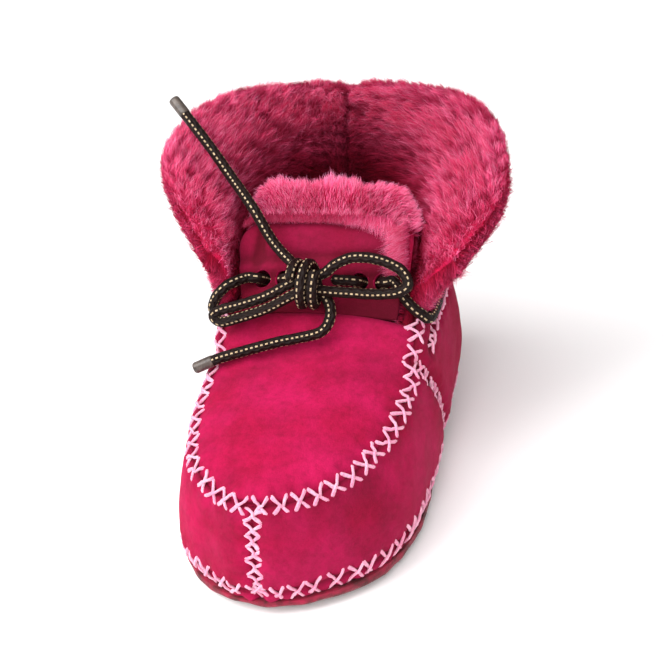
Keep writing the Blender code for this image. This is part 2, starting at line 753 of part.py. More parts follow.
def ankle_route():
    """From the knot through the tongue's right holes, round the ankle and back through the left ones."""
    clear = LACE_DIAMETER / 2 + 2 * GAP
    back = TONGUE_THICKNESS + clear
    ridge = [
        (KNOT_CLEAR_RIGHT, clear * 1.4),
        (INNER_HOLE - 0.0034, clear * 1.1),
        (INNER_HOLE - 0.0014, clear * 0.9),
        (INNER_HOLE - 0.0003, clear * 0.45),
        (INNER_HOLE, -TONGUE_THICKNESS / 2),
        (INNER_HOLE + 0.0003, clear * 0.45 - back),
        (INNER_HOLE + 0.0012, -back),
        ((INNER_HOLE + OUTER_HOLE) / 2, -back * 1.05),
        (OUTER_HOLE - 0.0012, -back),
        (OUTER_HOLE - 0.0003, clear * 0.45 - back),
        (OUTER_HOLE, -TONGUE_THICKNESS / 2),
        (OUTER_HOLE + 0.0003, clear * 0.45),
        (OUTER_HOLE + 0.0014, clear * 0.9),
        (OUTER_HOLE + 0.0036, clear * 1.15),
    ]

    def through_holes(side):
        return [tongue_point(side * place, HOLE_HEIGHT, lift) for place, lift in ridge]

    right = through_holes(1)
    right += [Vector(p) for p in LACE_CORNER]
    left = through_holes(-1)
    left[0] = tongue_point(-KNOT_CLEAR_LEFT, HOLE_HEIGHT, clear * 1.4)
    left += [Vector((-x, y, z)) for x, y, z in LACE_CORNER]
    round_ankle = []
    first = throat_column() + 4
    for k in range(first, COLUMNS - first + 1, 2):
        angle = 2 * math.pi * k / COLUMNS
        point = wall_point(angle, ANKLE_LACE_RISE) + outward(top_edge, angle) * clear
        round_ankle.append(point)
    front = smooth_route(right + round_ankle[:3], LACE_DIAMETER * 0.55)
    behind = smooth_route(round_ankle[2:-2], LACE_DIAMETER * 2)
    last = smooth_route(round_ankle[-3:] + left[::-1], LACE_DIAMETER * 0.55)
    return thinned(front) + behind[1:-1] + thinned(last)


def thinned(route):
    """Leaves out points where the route is nearly straight."""
    kept = [route[0]]
    for before, here, after in zip(route, route[1:], route[2:]):
        turn = (here - kept[-1]).angle(after - here)
        if turn > LACE_TURN or (here - kept[-1]).length > LACE_DIAMETER * 2:
            kept.append(here)
    return kept + [route[-1]]


def build_laces():
    """The lace: through the tongue and round the ankle, a knot, two loops and two ends."""
    cord("lace_ankle", ankle_route())
    cord("lace_knot", knot_route())
    cord("lace_loop_left", thinned(smooth_route(LOOP_LEFT, LACE_DIAMETER * 0.6)))
    cord("lace_loop_right", thinned(smooth_route(LOOP_RIGHT, LACE_DIAMETER * 0.6)))
    cord("lace_end_long", thinned(smooth_route(END_LONG, LACE_DIAMETER)))
    cord("lace_end_short", thinned(smooth_route(END_SHORT, LACE_DIAMETER * 0.8)))


def main():
    """Builds every piece."""
    build_upper()
    build_outsole()
    build_insole()
    build_cuff()
    build_cuff_fleece()
    build_tongue()
    build_tongue_fleece()
    build_laces()


for leftover in list(bpy.data.objects):
    bpy.data.objects.remove(leftover)
part_collection = bpy.data.collections.new("bootie")
bpy.context.scene.collection.children.link(part_collection)
cutter_collection = bpy.data.collections.new("cutters")
bpy.context.scene.collection.children.link(cutter_collection)
main()
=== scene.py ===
import math

import bpy
import numpy as np
from mathutils import Matrix, Vector
from mathutils.bvhtree import BVHTree


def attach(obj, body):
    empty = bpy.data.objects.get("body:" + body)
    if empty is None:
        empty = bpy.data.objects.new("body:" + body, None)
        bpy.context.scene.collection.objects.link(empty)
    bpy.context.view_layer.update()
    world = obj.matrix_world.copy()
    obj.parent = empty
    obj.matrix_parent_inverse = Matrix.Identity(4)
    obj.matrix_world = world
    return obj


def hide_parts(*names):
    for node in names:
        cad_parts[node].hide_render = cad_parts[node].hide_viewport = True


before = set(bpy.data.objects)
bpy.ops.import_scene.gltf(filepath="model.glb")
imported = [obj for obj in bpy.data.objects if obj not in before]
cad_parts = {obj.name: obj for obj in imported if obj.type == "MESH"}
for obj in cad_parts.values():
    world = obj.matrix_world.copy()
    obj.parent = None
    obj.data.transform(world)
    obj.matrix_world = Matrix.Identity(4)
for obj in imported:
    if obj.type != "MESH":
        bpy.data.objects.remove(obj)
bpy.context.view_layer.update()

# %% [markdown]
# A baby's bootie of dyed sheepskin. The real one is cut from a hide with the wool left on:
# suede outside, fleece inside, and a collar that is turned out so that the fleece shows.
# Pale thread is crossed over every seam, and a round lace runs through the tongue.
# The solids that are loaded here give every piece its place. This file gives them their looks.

rng = np.random.default_rng(11)

# %% [markdown]
# The camera comes first, because it decides what has to look right. It stands where the
# photographer stood, above and in front of the toe and a little to the right, and is aimed
# at the middle of the shoe. Its up direction leans slightly, as the picture does.

# %% The camera
CAMERA_PLACE = Vector((0.1085, -0.3367, 0.2616))
CAMERA_AIM = Vector((0.0036, 0.0004, 0.0437))
CAMERA_UP = Vector((-0.0393, 0.5336, 0.8448))
LENS = 88.0

back = (CAMERA_PLACE - CAMERA_AIM).normalized()
side = CAMERA_UP.cross(back).normalized()
turn = Matrix((side, back.cross(side), back)).transposed().to_4x4()
bpy.ops.object.camera_add()
camera = bpy.context.object
camera.name = "camera"
camera.matrix_world = Matrix.Translation(CAMERA_PLACE) @ turn
camera.data.lens = LENS
camera.data.clip_start = 0.01
bpy.context.scene.camera = camera
print("camera", round((CAMERA_PLACE - CAMERA_AIM).length, 3), "m from the shoe")

# %% [markdown]
# Everything below is measured from the last, the form that a shoe is made over. It is
# written as the two outlines of the wall, at the sole and at the top edge, with a swell
# between them. The same sizes and shares shaped the solids, so the looks fit them.

# %% The last's sizes and tables
LENGTH, BALL_WIDTH, ANKLE_HEIGHT, TOE_SWING = 0.124, 0.070, 0.050, 0.0045
SKIN, GAP = 0.0026, 0.0003
SOLE_JOINT, SOLE_INSET, SOLE_THICKNESS, SOLE_ROUNDING = 0.0048, 0.0039, 0.0024, 0.0042
SOLE_WELT, TOE_SPRING, TOE_SPRING_SHARE, INSOLE_THICKNESS = 0.0015, 0.0016, 0.14, 0.0060
TOE_SETBACK, HEEL_SETBACK, SWELL = 0.0070, 0.0050, 0.0052
SEAM_DEPTH, SEAM_WIDTH, TOE_SEAM_SHARE, SIDE_SEAM_SHARE = 0.0014, 0.0032, 1.15, 0.6
SIDE_SEAM_FOOT, SIDE_SEAM_HEAD = 0.16 * LENGTH / 2, -0.16 * LENGTH / 2
VAMP_CROWN, VAMP_CROWN_POWER, VAMP_CROWN_FULL = 0.0052, 2.4, 0.3 * BALL_WIDTH
VAMP_DIP_SHARE, THROAT_FLATTER, THROAT_STATION = 0.5, 0.30, 0.50
THROAT_ANGLE = math.pi / 2

# Columns: station, half width at the sole and at the top, height of the top, swell
LAST = np.array([
    (0.00, 0.492, 0.458, 0.606, 0.62),
    (0.10, 0.515, 0.448, 0.625, 0.60),
    (0.25, 0.462, 0.417, 0.685, 0.60),
    (0.40, 0.402, 0.388, 0.755, 0.80),
    (0.52, 0.384, 0.368, 0.925, 0.85),
    (0.65, 0.378, 0.380, 1.000, 1.10),
    (0.80, 0.418, 0.428, 1.000, 1.15),
    (1.00, 0.440, 0.450, 1.000, 1.00),
])
SOLE_HALF, TOP_HALF, TOP_HEIGHT, SWELL_SHARE = 1, 2, 3, 4
print("last", len(LAST), "sections")

# %% [markdown]
# Each function takes whole arrays of places at once, because a fine surface has tens of
# thousands of points. A place on the wall is an angle round the last and a rise up it.

# %% Points of the last


def arrays(*values):
    """The values as arrays of one shape."""
    return np.broadcast_arrays(*(np.asarray(v, float) for v in values))


def bell(distance, width):
    """1 at no distance, and little of it left past the width."""
    return np.exp(-((distance / width) ** 2))


def along(table, column, at):
    """A table's column at places in its first column, on a smooth curve."""
    xs, ys = table[:, 0], table[:, column]
    at = np.clip(at, xs[0], xs[-1])
    i = np.clip(np.searchsorted(xs, at, side="right") - 1, 0, len(xs) - 2)
    k = np.arange(len(xs))
    low, high = np.maximum(k - 1, 0), np.minimum(k + 1, len(xs) - 1)
    slope = (ys[high] - ys[low]) / (xs[high] - xs[low])
    step, rise = xs[i + 1] - xs[i], ys[i + 1] - ys[i]
    a, b, t = slope[i] * step, slope[i + 1] * step, (at - xs[i]) / step
    return ys[i] + a * t + (3 * rise - 2 * a - b) * t**2 + (a + b - 2 * rise) * t**3


def unit(v):
    return v / np.maximum(np.linalg.norm(v, axis=-1, keepdims=True), 1e-9)


def swung(points):
    """The toe's slight turn inwards."""
    points = points.copy()
    ahead = np.maximum(0.0, -points[..., 1] / (LENGTH / 2))
    points[..., 0] -= TOE_SWING * ahead**2
    return points


def outline(angle, column, front, rear):
    station = (1 - np.cos(angle)) / 2
    half = along(LAST, column, station) * BALL_WIDTH
    y = front + (rear - front) * station
    return np.stack([half * np.sin(angle), y, np.zeros_like(station)], -1)


def sole_edge(angle):
    points = outline(angle, SOLE_HALF, -LENGTH / 2 + SOLE_INSET, LENGTH / 2 - SOLE_INSET)
    points[..., 2] = SOLE_JOINT
    return points


def top_edge(angle):
    points = outline(angle, TOP_HALF, -LENGTH / 2 + TOE_SETBACK, LENGTH / 2 - HEEL_SETBACK)
    points[..., 2] = along(LAST, TOP_HEIGHT, (1 - np.cos(angle)) / 2) * ANKLE_HEIGHT
    return points


def outward(edge, angle):
    run = edge(angle + 0.01) - edge(angle - 0.01)
    return unit(np.stack([run[..., 1], -run[..., 0], np.zeros_like(run[..., 0])], -1))


def trough(distance):
    return bell(distance, SEAM_WIDTH)


def wall_point(angle, rise):
    """The wall's outer face, from the sole joint at rise 0 to the top edge at 1."""
    angle, rise = arrays(angle, rise)
    station = (1 - np.cos(angle)) / 2
    out = unit(outward(sole_edge, angle) + outward(top_edge, angle))
    swell = along(LAST, SWELL_SHARE, station) * SWELL
    belly = np.sin(math.pi * rise**0.85).clip(0) ** 0.75
    foot, head, up = sole_edge(angle), top_edge(angle), rise[..., None]
    points = foot * (1 - up) + head * up + out * (swell * belly)[..., None]
    share = (points[..., 2] - SOLE_JOINT) / (ANKLE_HEIGHT - SOLE_JOINT)
    seam_gap = points[..., 1] - SIDE_SEAM_FOOT * (1 - share) - SIDE_SEAM_HEAD * share
    toe = trough(np.abs(points[..., 0])) * (station < THROAT_STATION)
    toe = toe * np.sin(math.pi * np.minimum(1.0, rise * TOE_SEAM_SHARE)).clip(0) ** 0.5
    sunk = np.maximum(toe, trough(seam_gap) * SIDE_SEAM_SHARE)
    return swung(points - out * (sunk * SEAM_DEPTH)[..., None])


def vamp_point(angle, share):
    """Across the vamp between the top edge's right point, share 0, and its left, 1."""
    angle, share = arrays(angle, share)
    right, left = wall_point(angle, 1.0), wall_point(-angle, 1.0)
    points = right * (1 - share[..., None]) + left * share[..., None]
    station = (right[..., 1] + LENGTH / 2 - TOE_SETBACK) / (LENGTH - TOE_SETBACK - HEEL_SETBACK)
    half = (right[..., 0] - left[..., 0]) / 2
    crown = VAMP_CROWN * np.minimum(1.0, half / VAMP_CROWN_FULL)
    crown = crown * (1 - THROAT_FLATTER * (station / THROAT_STATION) ** 2)
    across = np.abs(2 * share - 1)
    points[..., 2] += crown * (1 - across**VAMP_CROWN_POWER)
    points[..., 2] -= SEAM_DEPTH * VAMP_DIP_SHARE * trough((1 - across) * half)
    return points


print("toe at", np.round(wall_point(0.0, 0.5), 4).tolist())

# %% [markdown]
# The lace is a real length of round braid, so it is settled before the soft pieces. Its loose parts
# follow routes of a few points, chosen as the lace falls: the knot, two flat loops, a long end that
# stands over the left flap and a short one across the instep.
# The tube is built ring by ring round a smooth curve, so that the braid can follow it.

# %% The lace's routes
LACE_DIAMETER, LACE_HOLE = 0.0028, 0.0046
OUTER_HOLE, INNER_HOLE, HOLE_HEIGHT = 0.0160, 0.0100, 0.0085
LOOP_LEFT = [
    (-0.0021, 0.0014, 0.0592), (-0.0060, 0.0000, 0.0579), (-0.0120, -0.0014, 0.0549),
    (-0.0190, -0.0022, 0.0525), (-0.0240, -0.0024, 0.0510), (-0.0264, -0.0031, 0.0495),
    (-0.0243, -0.0036, 0.0480), (-0.0190, -0.0036, 0.0496), (-0.0120, -0.0031, 0.0521),
    (-0.0060, -0.0020, 0.0551), (-0.0021, -0.0006, 0.0567),
]
LOOP_RIGHT = [
    (-0.0009, 0.0014, 0.0592), (0.0030, 0.0016, 0.0603), (0.0060, 0.0024, 0.0626),
    (0.0105, 0.0036, 0.0640), (0.0168, 0.0038, 0.0635), (0.0224, 0.0028, 0.0614),
    (0.0246, 0.0006, 0.0586), (0.0220, -0.0008, 0.0569), (0.0160, -0.0012, 0.0564),
    (0.0104, -0.0012, 0.0566), (0.0050, -0.0011, 0.0567), (-0.0009, -0.0006, 0.0567),
]
END_LONG = [
    (-0.0020, 0.0030, 0.0595), (-0.0069, 0.0062, 0.0609), (-0.0124, 0.0101, 0.0646),
    (-0.0175, 0.0134, 0.0722), (-0.0248, 0.0208, 0.0771), (-0.0303, 0.0244, 0.0832),
    (-0.0362, 0.0282, 0.0890), (-0.0420, 0.0325, 0.0938),
]
END_SHORT = [
    (0.0012, 0.0006, 0.0562), (0.0042, -0.0014, 0.0536), (0.0049, -0.0040, 0.0507),
    (0.0028, -0.0062, 0.0479), (-0.0030, -0.0070, 0.0463), (-0.0085, -0.0080, 0.0454),
    (-0.0184, -0.0100, 0.0431), (-0.0245, -0.0110, 0.0413), (-0.0305, -0.0120, 0.0388),
]
KNOT_MIDDLE = np.array((-0.0015, 0.0003, 0.0579))
KNOT_RADIUS, KNOT_PITCH, KNOT_TURNS = 0.0051, 0.0030, 2.1
LACE_CORNER_RIGHT = [(0.0236, 0.0022, 0.0525), (0.0268, 0.0018, 0.0494), (0.0290, 0.0048, 0.0470)]
LACE_CORNER_LEFT = [(-0.0238, 0.0034, 0.0548), (-0.0272, 0.0026, 0.0515), (-0.0290, 0.0048, 0.0470)]
KNOT_CLEAR_RIGHT, KNOT_CLEAR_LEFT, ANKLE_LACE_RISE = 0.0036, 0.0060, 0.935


def reach_along(line):
    """How far along a line of points each of them is."""
    return np.concatenate([[0], np.cumsum(np.linalg.norm(np.diff(line, axis=0), axis=1))])


def smooth_route(points, spacing):
    """Points at even spacing on a smooth curve through the given points."""
    p = np.array(points, float)
    p = np.vstack([2 * p[0] - p[1], p, 2 * p[-1] - p[-2]])
    a, b, c, d = p[:-3, None], p[1:-2, None], p[2:-1, None], p[3:, None]
    t = np.linspace(0, 1, 24, endpoint=False)[None, :, None]
    fine = b + (c - a) * 0.5 * t + (a - 2.5 * b + 2 * c - 0.5 * d) * t**2
    fine = (fine + (1.5 * (b - c) + 0.5 * (d - a)) * t**3).reshape(-1, 3)
    fine = np.vstack([fine, p[-2]])
    reach = reach_along(fine)
    count = max(2, round(reach[-1] / spacing))
    at = np.linspace(0, reach[-1], count + 1)
    return np.stack([np.interp(at, reach, fine[:, k]) for k in range(3)], -1)


def route_length(route):
    return float(np.linalg.norm(np.diff(route, axis=0), axis=1).sum())


print("long end", round(route_length(smooth_route(END_LONG, 0.001)), 4), "m")

# %% [markdown]
# The tongue leaves the vamp along its slope and soon bends up. Its surface is needed for
# the lace holes and for the leather and wool of the tongue, so it is a function as well.

# %% Points of the tongue
TONGUE_LENGTH, TONGUE_WIDTH, TONGUE_CORNER = 0.0230, 0.0440, 0.0075
TONGUE_FOOT_SHARE, TONGUE_LEAN, TONGUE_TURN = 0.93, math.radians(54), 0.0060
TONGUE_THICKNESS, TONGUE_SLIP, WOOL_SLIP = 0.0022, 0.0015, 0.0015

column = 2 * math.pi / 64
throat_right, throat_before = top_edge(THROAT_ANGLE), top_edge(THROAT_ANGLE - column)
THROAT_SLOPE = math.atan2(throat_right[2] - throat_before[2], throat_right[1] - throat_before[1])
THROAT_CROWN = VAMP_CROWN * (1 - THROAT_FLATTER)


def tongue_lean(height):
    return THROAT_SLOPE + (TONGUE_LEAN - THROAT_SLOPE) * np.minimum(height, TONGUE_TURN) / TONGUE_TURN


def tongue_point(sideways, height, lift):
    """A point on the tongue: sideways, up along it, and lifted off its front face."""
    sideways, height, lift = arrays(sideways, height, lift)
    at = (np.arange(12) + 0.5) / 12 * height[..., None]
    lean = tongue_lean(at)
    run = GAP * math.cos(THROAT_SLOPE) + (np.cos(lean) * height[..., None] / 12).sum(-1)
    climb = GAP * math.sin(THROAT_SLOPE) + (np.sin(lean) * height[..., None] / 12).sum(-1)
    lean = tongue_lean(height)
    lift = lift - THROAT_CROWN * np.abs(sideways / throat_right[0]) ** VAMP_CROWN_POWER
    y = throat_right[1] + run - np.sin(lean) * lift
    z = throat_right[2] + THROAT_CROWN + climb + np.cos(lean) * lift
    return np.stack([sideways, y, z], -1)


def tongue_half(height, width, length, corner):
    spread = np.minimum(1.0, height / (length / 2))
    base = width / 2 * (TONGUE_FOOT_SHARE + (1 - TONGUE_FOOT_SHARE) * spread)
    left = length - height
    curve = np.sqrt(np.maximum(0.0, corner**2 - (corner - left) ** 2))
    return np.where(left >= corner, base, base - corner + curve)


print("tongue's edge at", np.round(tongue_point(0.0, TONGUE_LENGTH, 0.0), 4).tolist())

# %% [markdown]
# A braided lace is a round tube whose strands cross over each other. Rings of points are
# placed along the route without twisting, and the radius rises and falls where strands
# cross. The map runs round the lace in turns and along it in metres, so that the woven
# flecks of the lace can follow it through every bend.

# %% Tube maker
def frames_along(route):
    """Two directions square to a route that turn with it and don't twist."""
    run = unit(np.gradient(route, axis=0))
    first = np.cross(run[0], (0.0, 0.0, 1.0))
    if np.linalg.norm(first) < 0.2:
        first = np.cross(run[0], (1.0, 0.0, 0.0))
    across = np.empty_like(route)
    across[0] = unit(first)
    for k in range(1, len(route)):
        v = across[k - 1] - run[k] * (across[k - 1] @ run[k])
        across[k] = v / np.linalg.norm(v)
    return across, np.cross(run, across)


def new_piece(name, verts, faces, uvs=None):
    """An object from arrays. The faces are all of one size, given as an array of rows."""
    mesh = bpy.data.meshes.new(name)
    verts, faces = np.asarray(verts, np.float32), np.asarray(faces, np.int32)
    mesh.vertices.add(len(verts))
    mesh.vertices.foreach_set("co", verts.ravel())
    mesh.loops.add(faces.size)
    mesh.loops.foreach_set("vertex_index", faces.ravel())
    mesh.polygons.add(len(faces))
    mesh.polygons.foreach_set("loop_start", np.arange(0, faces.size, faces.shape[1], dtype=np.int32))
    mesh.update(calc_edges=True)
    if uvs is not None:
        layer = mesh.uv_layers.new(name="UVMap")
        layer.data.foreach_set("uv", np.asarray(uvs, np.float32).reshape(-1))
    mesh.validate()
    mesh.shade_smooth()
    piece = bpy.data.objects.new(name, mesh)
    bpy.context.scene.collection.objects.link(piece)
    return piece


def tube_arrays(route, radius, sides=10, relief=None, taper=0.0):
    """Vertices, triangles and map of a closed tube. The relief gives its radius a pattern."""
    count = len(route)
    across, up = frames_along(route)
    reach = reach_along(route)
    turn = np.arange(sides) / sides
    angle = 2 * math.pi * turn[None, :, None]
    r = np.full((count, sides), radius, float)
    if relief is not None:
        r = r * (1 + relief(turn[None, :], reach[:, None]))
    if taper:
        ends = np.minimum(reach, reach[-1] - reach)
        r = r * np.sqrt(np.clip(ends / taper, 0.02, 1))[:, None]
    ring = np.cos(angle) * across[:, None] + np.sin(angle) * up[:, None]
    verts = (route[:, None] + ring * r[..., None]).reshape(-1, 3)
    verts = np.vstack([verts, route[0], route[-1]])
    k, i = np.meshgrid(np.arange(count - 1), np.arange(sides), indexing="ij")
    j = (i + 1) % sides
    a, b, c, d = k * sides + i, k * sides + j, (k + 1) * sides + j, (k + 1) * sides + i
    tris = [np.stack([a, b, c], -1).reshape(-1, 3), np.stack([a, c, d], -1).reshape(-1, 3)]
    u0, u1 = i / sides, (i + 1) / sides
    v0, v1 = reach[k], reach[k + 1]
    maps = [np.stack([u0, v0, u1, v0, u1, v1], -1).reshape(-1, 3, 2)]
    maps.append(np.stack([u0, v0, u1, v1, u0, v1], -1).reshape(-1, 3, 2))
    # The two ends close on a point in their middle
    ring_at = np.arange(sides)
    ring_next = (ring_at + 1) % sides
    first, last, top_ring = count * sides, count * sides + 1, (count - 1) * sides
    tris.append(np.stack([np.full(sides, first), ring_next, ring_at], -1))
    tris.append(np.stack([np.full(sides, last), top_ring + ring_at, top_ring + ring_next], -1))
    for v in (0.0, reach[-1]):
        maps.append(np.stack([ring_at / sides, np.full(sides, v)] * 3, -1).reshape(-1, 3, 2))
    return verts, np.vstack(tris), np.vstack(maps)


def tubes(name, parts):
    """One piece from several tubes."""
    verts, tris, maps, base = [], [], [], 0
    for v, t, m in parts:
        verts.append(v)
        tris.append(t + base)
        maps.append(m)
        base += len(v)
    return new_piece(name, np.vstack(verts), np.vstack(tris), np.vstack(maps))


print("tube maker ready")

# %% [markdown]
# Finishes are node materials that read the object's own coordinates, in metres. Suede has a nap: it is
# mottled where fingers have brushed it, and its fuzz catches light at a grazing angle, which the
# shader's sheen gives. Its seams and creases get painted shade.

# %% Finish helpers


def rgb(red, green, blue):
    """A screen colour, 0 to 255, as the linear colour that a shader reads."""
    values = np.array([red, green, blue]) / 255
    linear = np.where(values <= 0.04045, values / 12.92, ((values + 0.055) / 1.055) ** 2.4)
    return tuple(linear) + (1.0,)


class Finish:
    """A material under construction, with short ways to add the nodes used here."""

    def __init__(self, name, roughness, **sockets):
        self.material = bpy.data.materials.new(name)
        self.material.use_nodes = True
        self.tree = self.material.node_tree
        self.shader = self.tree.nodes["Principled BSDF"]
        self.shader.inputs["Roughness"].default_value = roughness
        for socket, value in sockets.items():
            self.shader.inputs[socket.replace("_", " ")].default_value = value
        self.place = self.add("ShaderNodeTexCoord").outputs["Object"]

    def add(self, kind, **settings):
        node = self.tree.nodes.new(kind)
        for key, value in settings.items():
            setattr(node, key, value)
        return node

    def join(self, out, into):
        self.tree.links.new(out, into)

    def noise(self, scale, detail=3.0, rough=0.55, stretch=None, place=None):
        node = self.add("ShaderNodeTexNoise")
        node.inputs["Scale"].default_value = scale
        node.inputs["Detail"].default_value = detail
        node.inputs["Roughness"].default_value = rough
        where = place or self.place
        if stretch:
            mapping = self.add("ShaderNodeMapping")
            mapping.inputs["Scale"].default_value = stretch
            self.join(where, mapping.inputs["Vector"])
            where = mapping.outputs["Vector"]
        self.join(where, node.inputs["Vector"])
        return node.outputs["Fac"]

    def attribute(self, name):
        return self.add("ShaderNodeAttribute", attribute_name=name).outputs["Fac"]

    def math(self, operation, a, b=0.5, c=0.5, clamp=False):
        node = self.add("ShaderNodeMath", operation=operation, use_clamp=clamp)
        for socket, value in zip(node.inputs, (a, b, c)):
            if isinstance(value, (int, float)):
                socket.default_value = value
            else:
                self.join(value, socket)
        return node.outputs[0]

    def span(self, value, low, high, to_low=0.0, to_high=1.0):
        node = self.add("ShaderNodeMapRange", clamp=True)
        for socket, number in zip(list(node.inputs)[1:5], (low, high, to_low, to_high)):
            socket.default_value = number
        self.join(value, node.inputs[0])
        return node.outputs[0]

    def blend(self, amount, first, second):
        node = self.add("ShaderNodeMix", data_type="RGBA")
        for socket, value in zip((node.inputs[0], *node.inputs[6:8]), (amount, first, second)):
            if isinstance(value, (int, float, tuple)):
                socket.default_value = value
            else:
                self.join(value, socket)
        return node.outputs[2]

    def bump(self, height, distance, strength=1.0, after=None):
        node = self.add("ShaderNodeBump")
        node.inputs["Distance"].default_value = distance
        node.inputs["Strength"].default_value = strength
        self.join(height, node.inputs["Height"])
        if after:
            self.join(after, node.inputs["Normal"])
        return node.outputs["Normal"]

    def done(self, colour, normal=None, roughness=None):
        self.join(colour, self.shader.inputs["Base Color"])
        if normal:
            self.join(normal, self.shader.inputs["Normal"])
        if roughness:
            self.join(roughness, self.shader.inputs["Roughness"])
        return self.material


print("finish helpers ready")

# %% [markdown]
# The suede's colour is mixed from three pinks. Wide patches stand for brushed nap, fine mottling for
# the hide, and painted shade stored on the surface darkens the seams, creases and other places where
# shade falls.

# %% Suede
SUEDE_BRIGHT, SUEDE, SUEDE_DEEP = rgb(186, 17, 79), rgb(166, 12, 60), rgb(72, 3, 14)


def make_suede():
    f = Finish("suede", 0.95, Specular_IOR_Level=0.15, Sheen_Weight=0.10, Sheen_Tint=rgb(255, 90, 140))
    patches = f.span(f.noise(55, 3.0), 0.38, 0.64)
    colour = f.blend(patches, SUEDE, SUEDE_BRIGHT)
    mottle = f.span(f.noise(620, 5.0, 0.75), 0.42, 0.68)
    colour = f.blend(f.math("MULTIPLY", mottle, 0.30), colour, SUEDE_DEEP)
    clouds = f.span(f.noise(190, 3.0, 0.6), 0.45, 0.75)
    colour = f.blend(f.math("MULTIPLY", clouds, 0.22), colour, SUEDE_DEEP)
    streaks = f.span(f.noise(260, 3.0, 0.6, stretch=(1.0, 0.35, 0.6)), 0.5, 0.8)
    colour = f.blend(f.math("MULTIPLY", streaks, 0.22), colour, SUEDE_BRIGHT)
    # Painted shade stored on the surface deepens the colour where shade falls.
    colour = f.blend(f.math("MULTIPLY", f.attribute("seam_and_painted_shade"), 0.85, clamp=True), colour, SUEDE_DEEP)
    nap = f.bump(f.noise(2600, 5.0, 0.75), 0.00035, 0.5)
    normal = f.bump(f.noise(520, 3.0), 0.0006, 0.35, after=nap)
    rough = f.span(patches, 0.0, 1.0, 0.97, 0.84)
    return f.done(colour, normal, rough)


suede = make_suede()
print("suede", len(suede.node_tree.nodes), "nodes")

# %% [markdown]
# A surface starts as a grid primitive whose points are laid on the shape. The grid keeps
# its own map, so a pattern can follow it, and its edges are merged where they meet.

# %% Surface helpers


def shaped_grid(name, points, seam_and_painted_shade=None):
    """A grid primitive laid on points given as rows and columns, with painted shade for each."""
    rows, cols = points.shape[:2]
    bpy.ops.object.select_all(action="DESELECT")
    bpy.ops.mesh.primitive_grid_add(x_subdivisions=cols - 1, y_subdivisions=rows - 1, size=1)
    piece = bpy.context.object
    piece.name = piece.data.name = name
    flat = np.empty(rows * cols * 3, np.float32)
    piece.data.vertices.foreach_get("co", flat)
    flat = flat.reshape(-1, 3)
    c = np.rint((flat[:, 0] + 0.5) * (cols - 1)).astype(int)
    r = np.rint((flat[:, 1] + 0.5) * (rows - 1)).astype(int)
    piece.data.vertices.foreach_set("co", points[r, c].astype(np.float32).ravel())
    piece.data.update()
    if seam_and_painted_shade is not None:
        store(piece, "seam_and_painted_shade", seam_and_painted_shade[r, c])
    return piece


def edit(piece, *steps):
    """Runs edit mode steps on the whole of a piece. A step is an operator and its settings."""
    bpy.ops.object.select_all(action="DESELECT")
    piece.select_set(True)
    bpy.context.view_layer.objects.active = piece
    bpy.ops.object.mode_set(mode="EDIT")
    for operator, settings in steps:
        bpy.ops.mesh.select_all(action="SELECT")
        operator(**settings)
    bpy.ops.object.mode_set(mode="OBJECT")
    return piece


MERGE = (bpy.ops.mesh.remove_doubles, {"threshold": 0.00002})
FACE_OUT = (bpy.ops.mesh.normals_make_consistent, {"inside": False})
CLOSE = (bpy.ops.mesh.fill_holes, {"sides": 0})


def joined(*pieces):
    bpy.ops.object.select_all(action="DESELECT")
    for piece in pieces:
        piece.select_set(True)
    bpy.context.view_layer.objects.active = pieces[0]
    bpy.ops.object.join()
    return pieces[0]


def apply(piece, kind, **settings):
    """Adds a modifier and applies it."""
    bpy.ops.object.select_all(action="DESELECT")
    piece.select_set(True)
    bpy.context.view_layer.objects.active = piece
    modifier = piece.modifiers.new(kind.lower(), kind)
    for key, value in settings.items():
        setattr(modifier, key, value)
    bpy.ops.object.modifier_apply(modifier=modifier.name)
    return piece


def soften(piece, width):
    """Rounds the sharp edges of a piece."""
    sharp = math.radians(50)
    return apply(piece, "BEVEL", width=width, segments=2, limit_method="ANGLE", angle_limit=sharp)


def positions(piece):
    flat = np.empty(len(piece.data.vertices) * 3, np.float32)
    piece.data.vertices.foreach_get("co", flat)
    return flat.reshape(-1, 3).astype(float)


def normals(piece):
    flat = np.empty(len(piece.data.vertices) * 3, np.float32)
    piece.data.vertices.foreach_get("normal", flat)
    return flat.reshape(-1, 3).astype(float)


def place_points(piece, points):
    piece.data.vertices.foreach_set("co", points.astype(np.float32).ravel())
    piece.data.update()


def store(piece, name, values):
    layer = piece.data.attributes.new(name, "FLOAT", "POINT")
    layer.data.foreach_set("value", np.asarray(values, np.float32))


def near_line(points, line):
    """Distance from each point to a line of points, and how far along the line that is."""
    reach = reach_along(line)
    distance, at = np.empty(len(points)), np.empty(len(points))
    for k in range(0, len(points), 4000):
        gap = np.linalg.norm(points[k:k + 4000, None] - line[None], axis=2)
        i = gap.argmin(1)
        distance[k:k + 4000], at[k:k + 4000] = gap[np.arange(len(i)), i], reach[i]
    return distance, at


def waves(points, size, seed):
    """A soft uneven field between about -1 and 1, with bumps of about the given size."""
    pick = np.random.default_rng(seed)
    total = np.zeros(len(points))
    for _ in range(9):
        way = unit(pick.normal(size=3)) * (2 * math.pi / (size * pick.uniform(1.1, 2.4)))
        total += np.sin(points @ way + pick.uniform(0, 6.3))
    return total / 3.4


print("surface helpers ready")

# %% [markdown]
# The seams are lines on the last. The plug seam runs round the front panel, the toe seam
# down the middle of the toe, a side seam down each side, the collar seam under the turned
# collar, and the sole seam round the foot. Leather sinks along them and puckers between
# the stitches, so the same lines shape the suede and place the thread.

# %% Seam lines
STITCH_PITCH = 0.0047
COLLAR_SEAM_RISE = 0.84
SOLE_SEAM_LIFT = 0.0030
SEAM_PAST_THROAT = 0.09


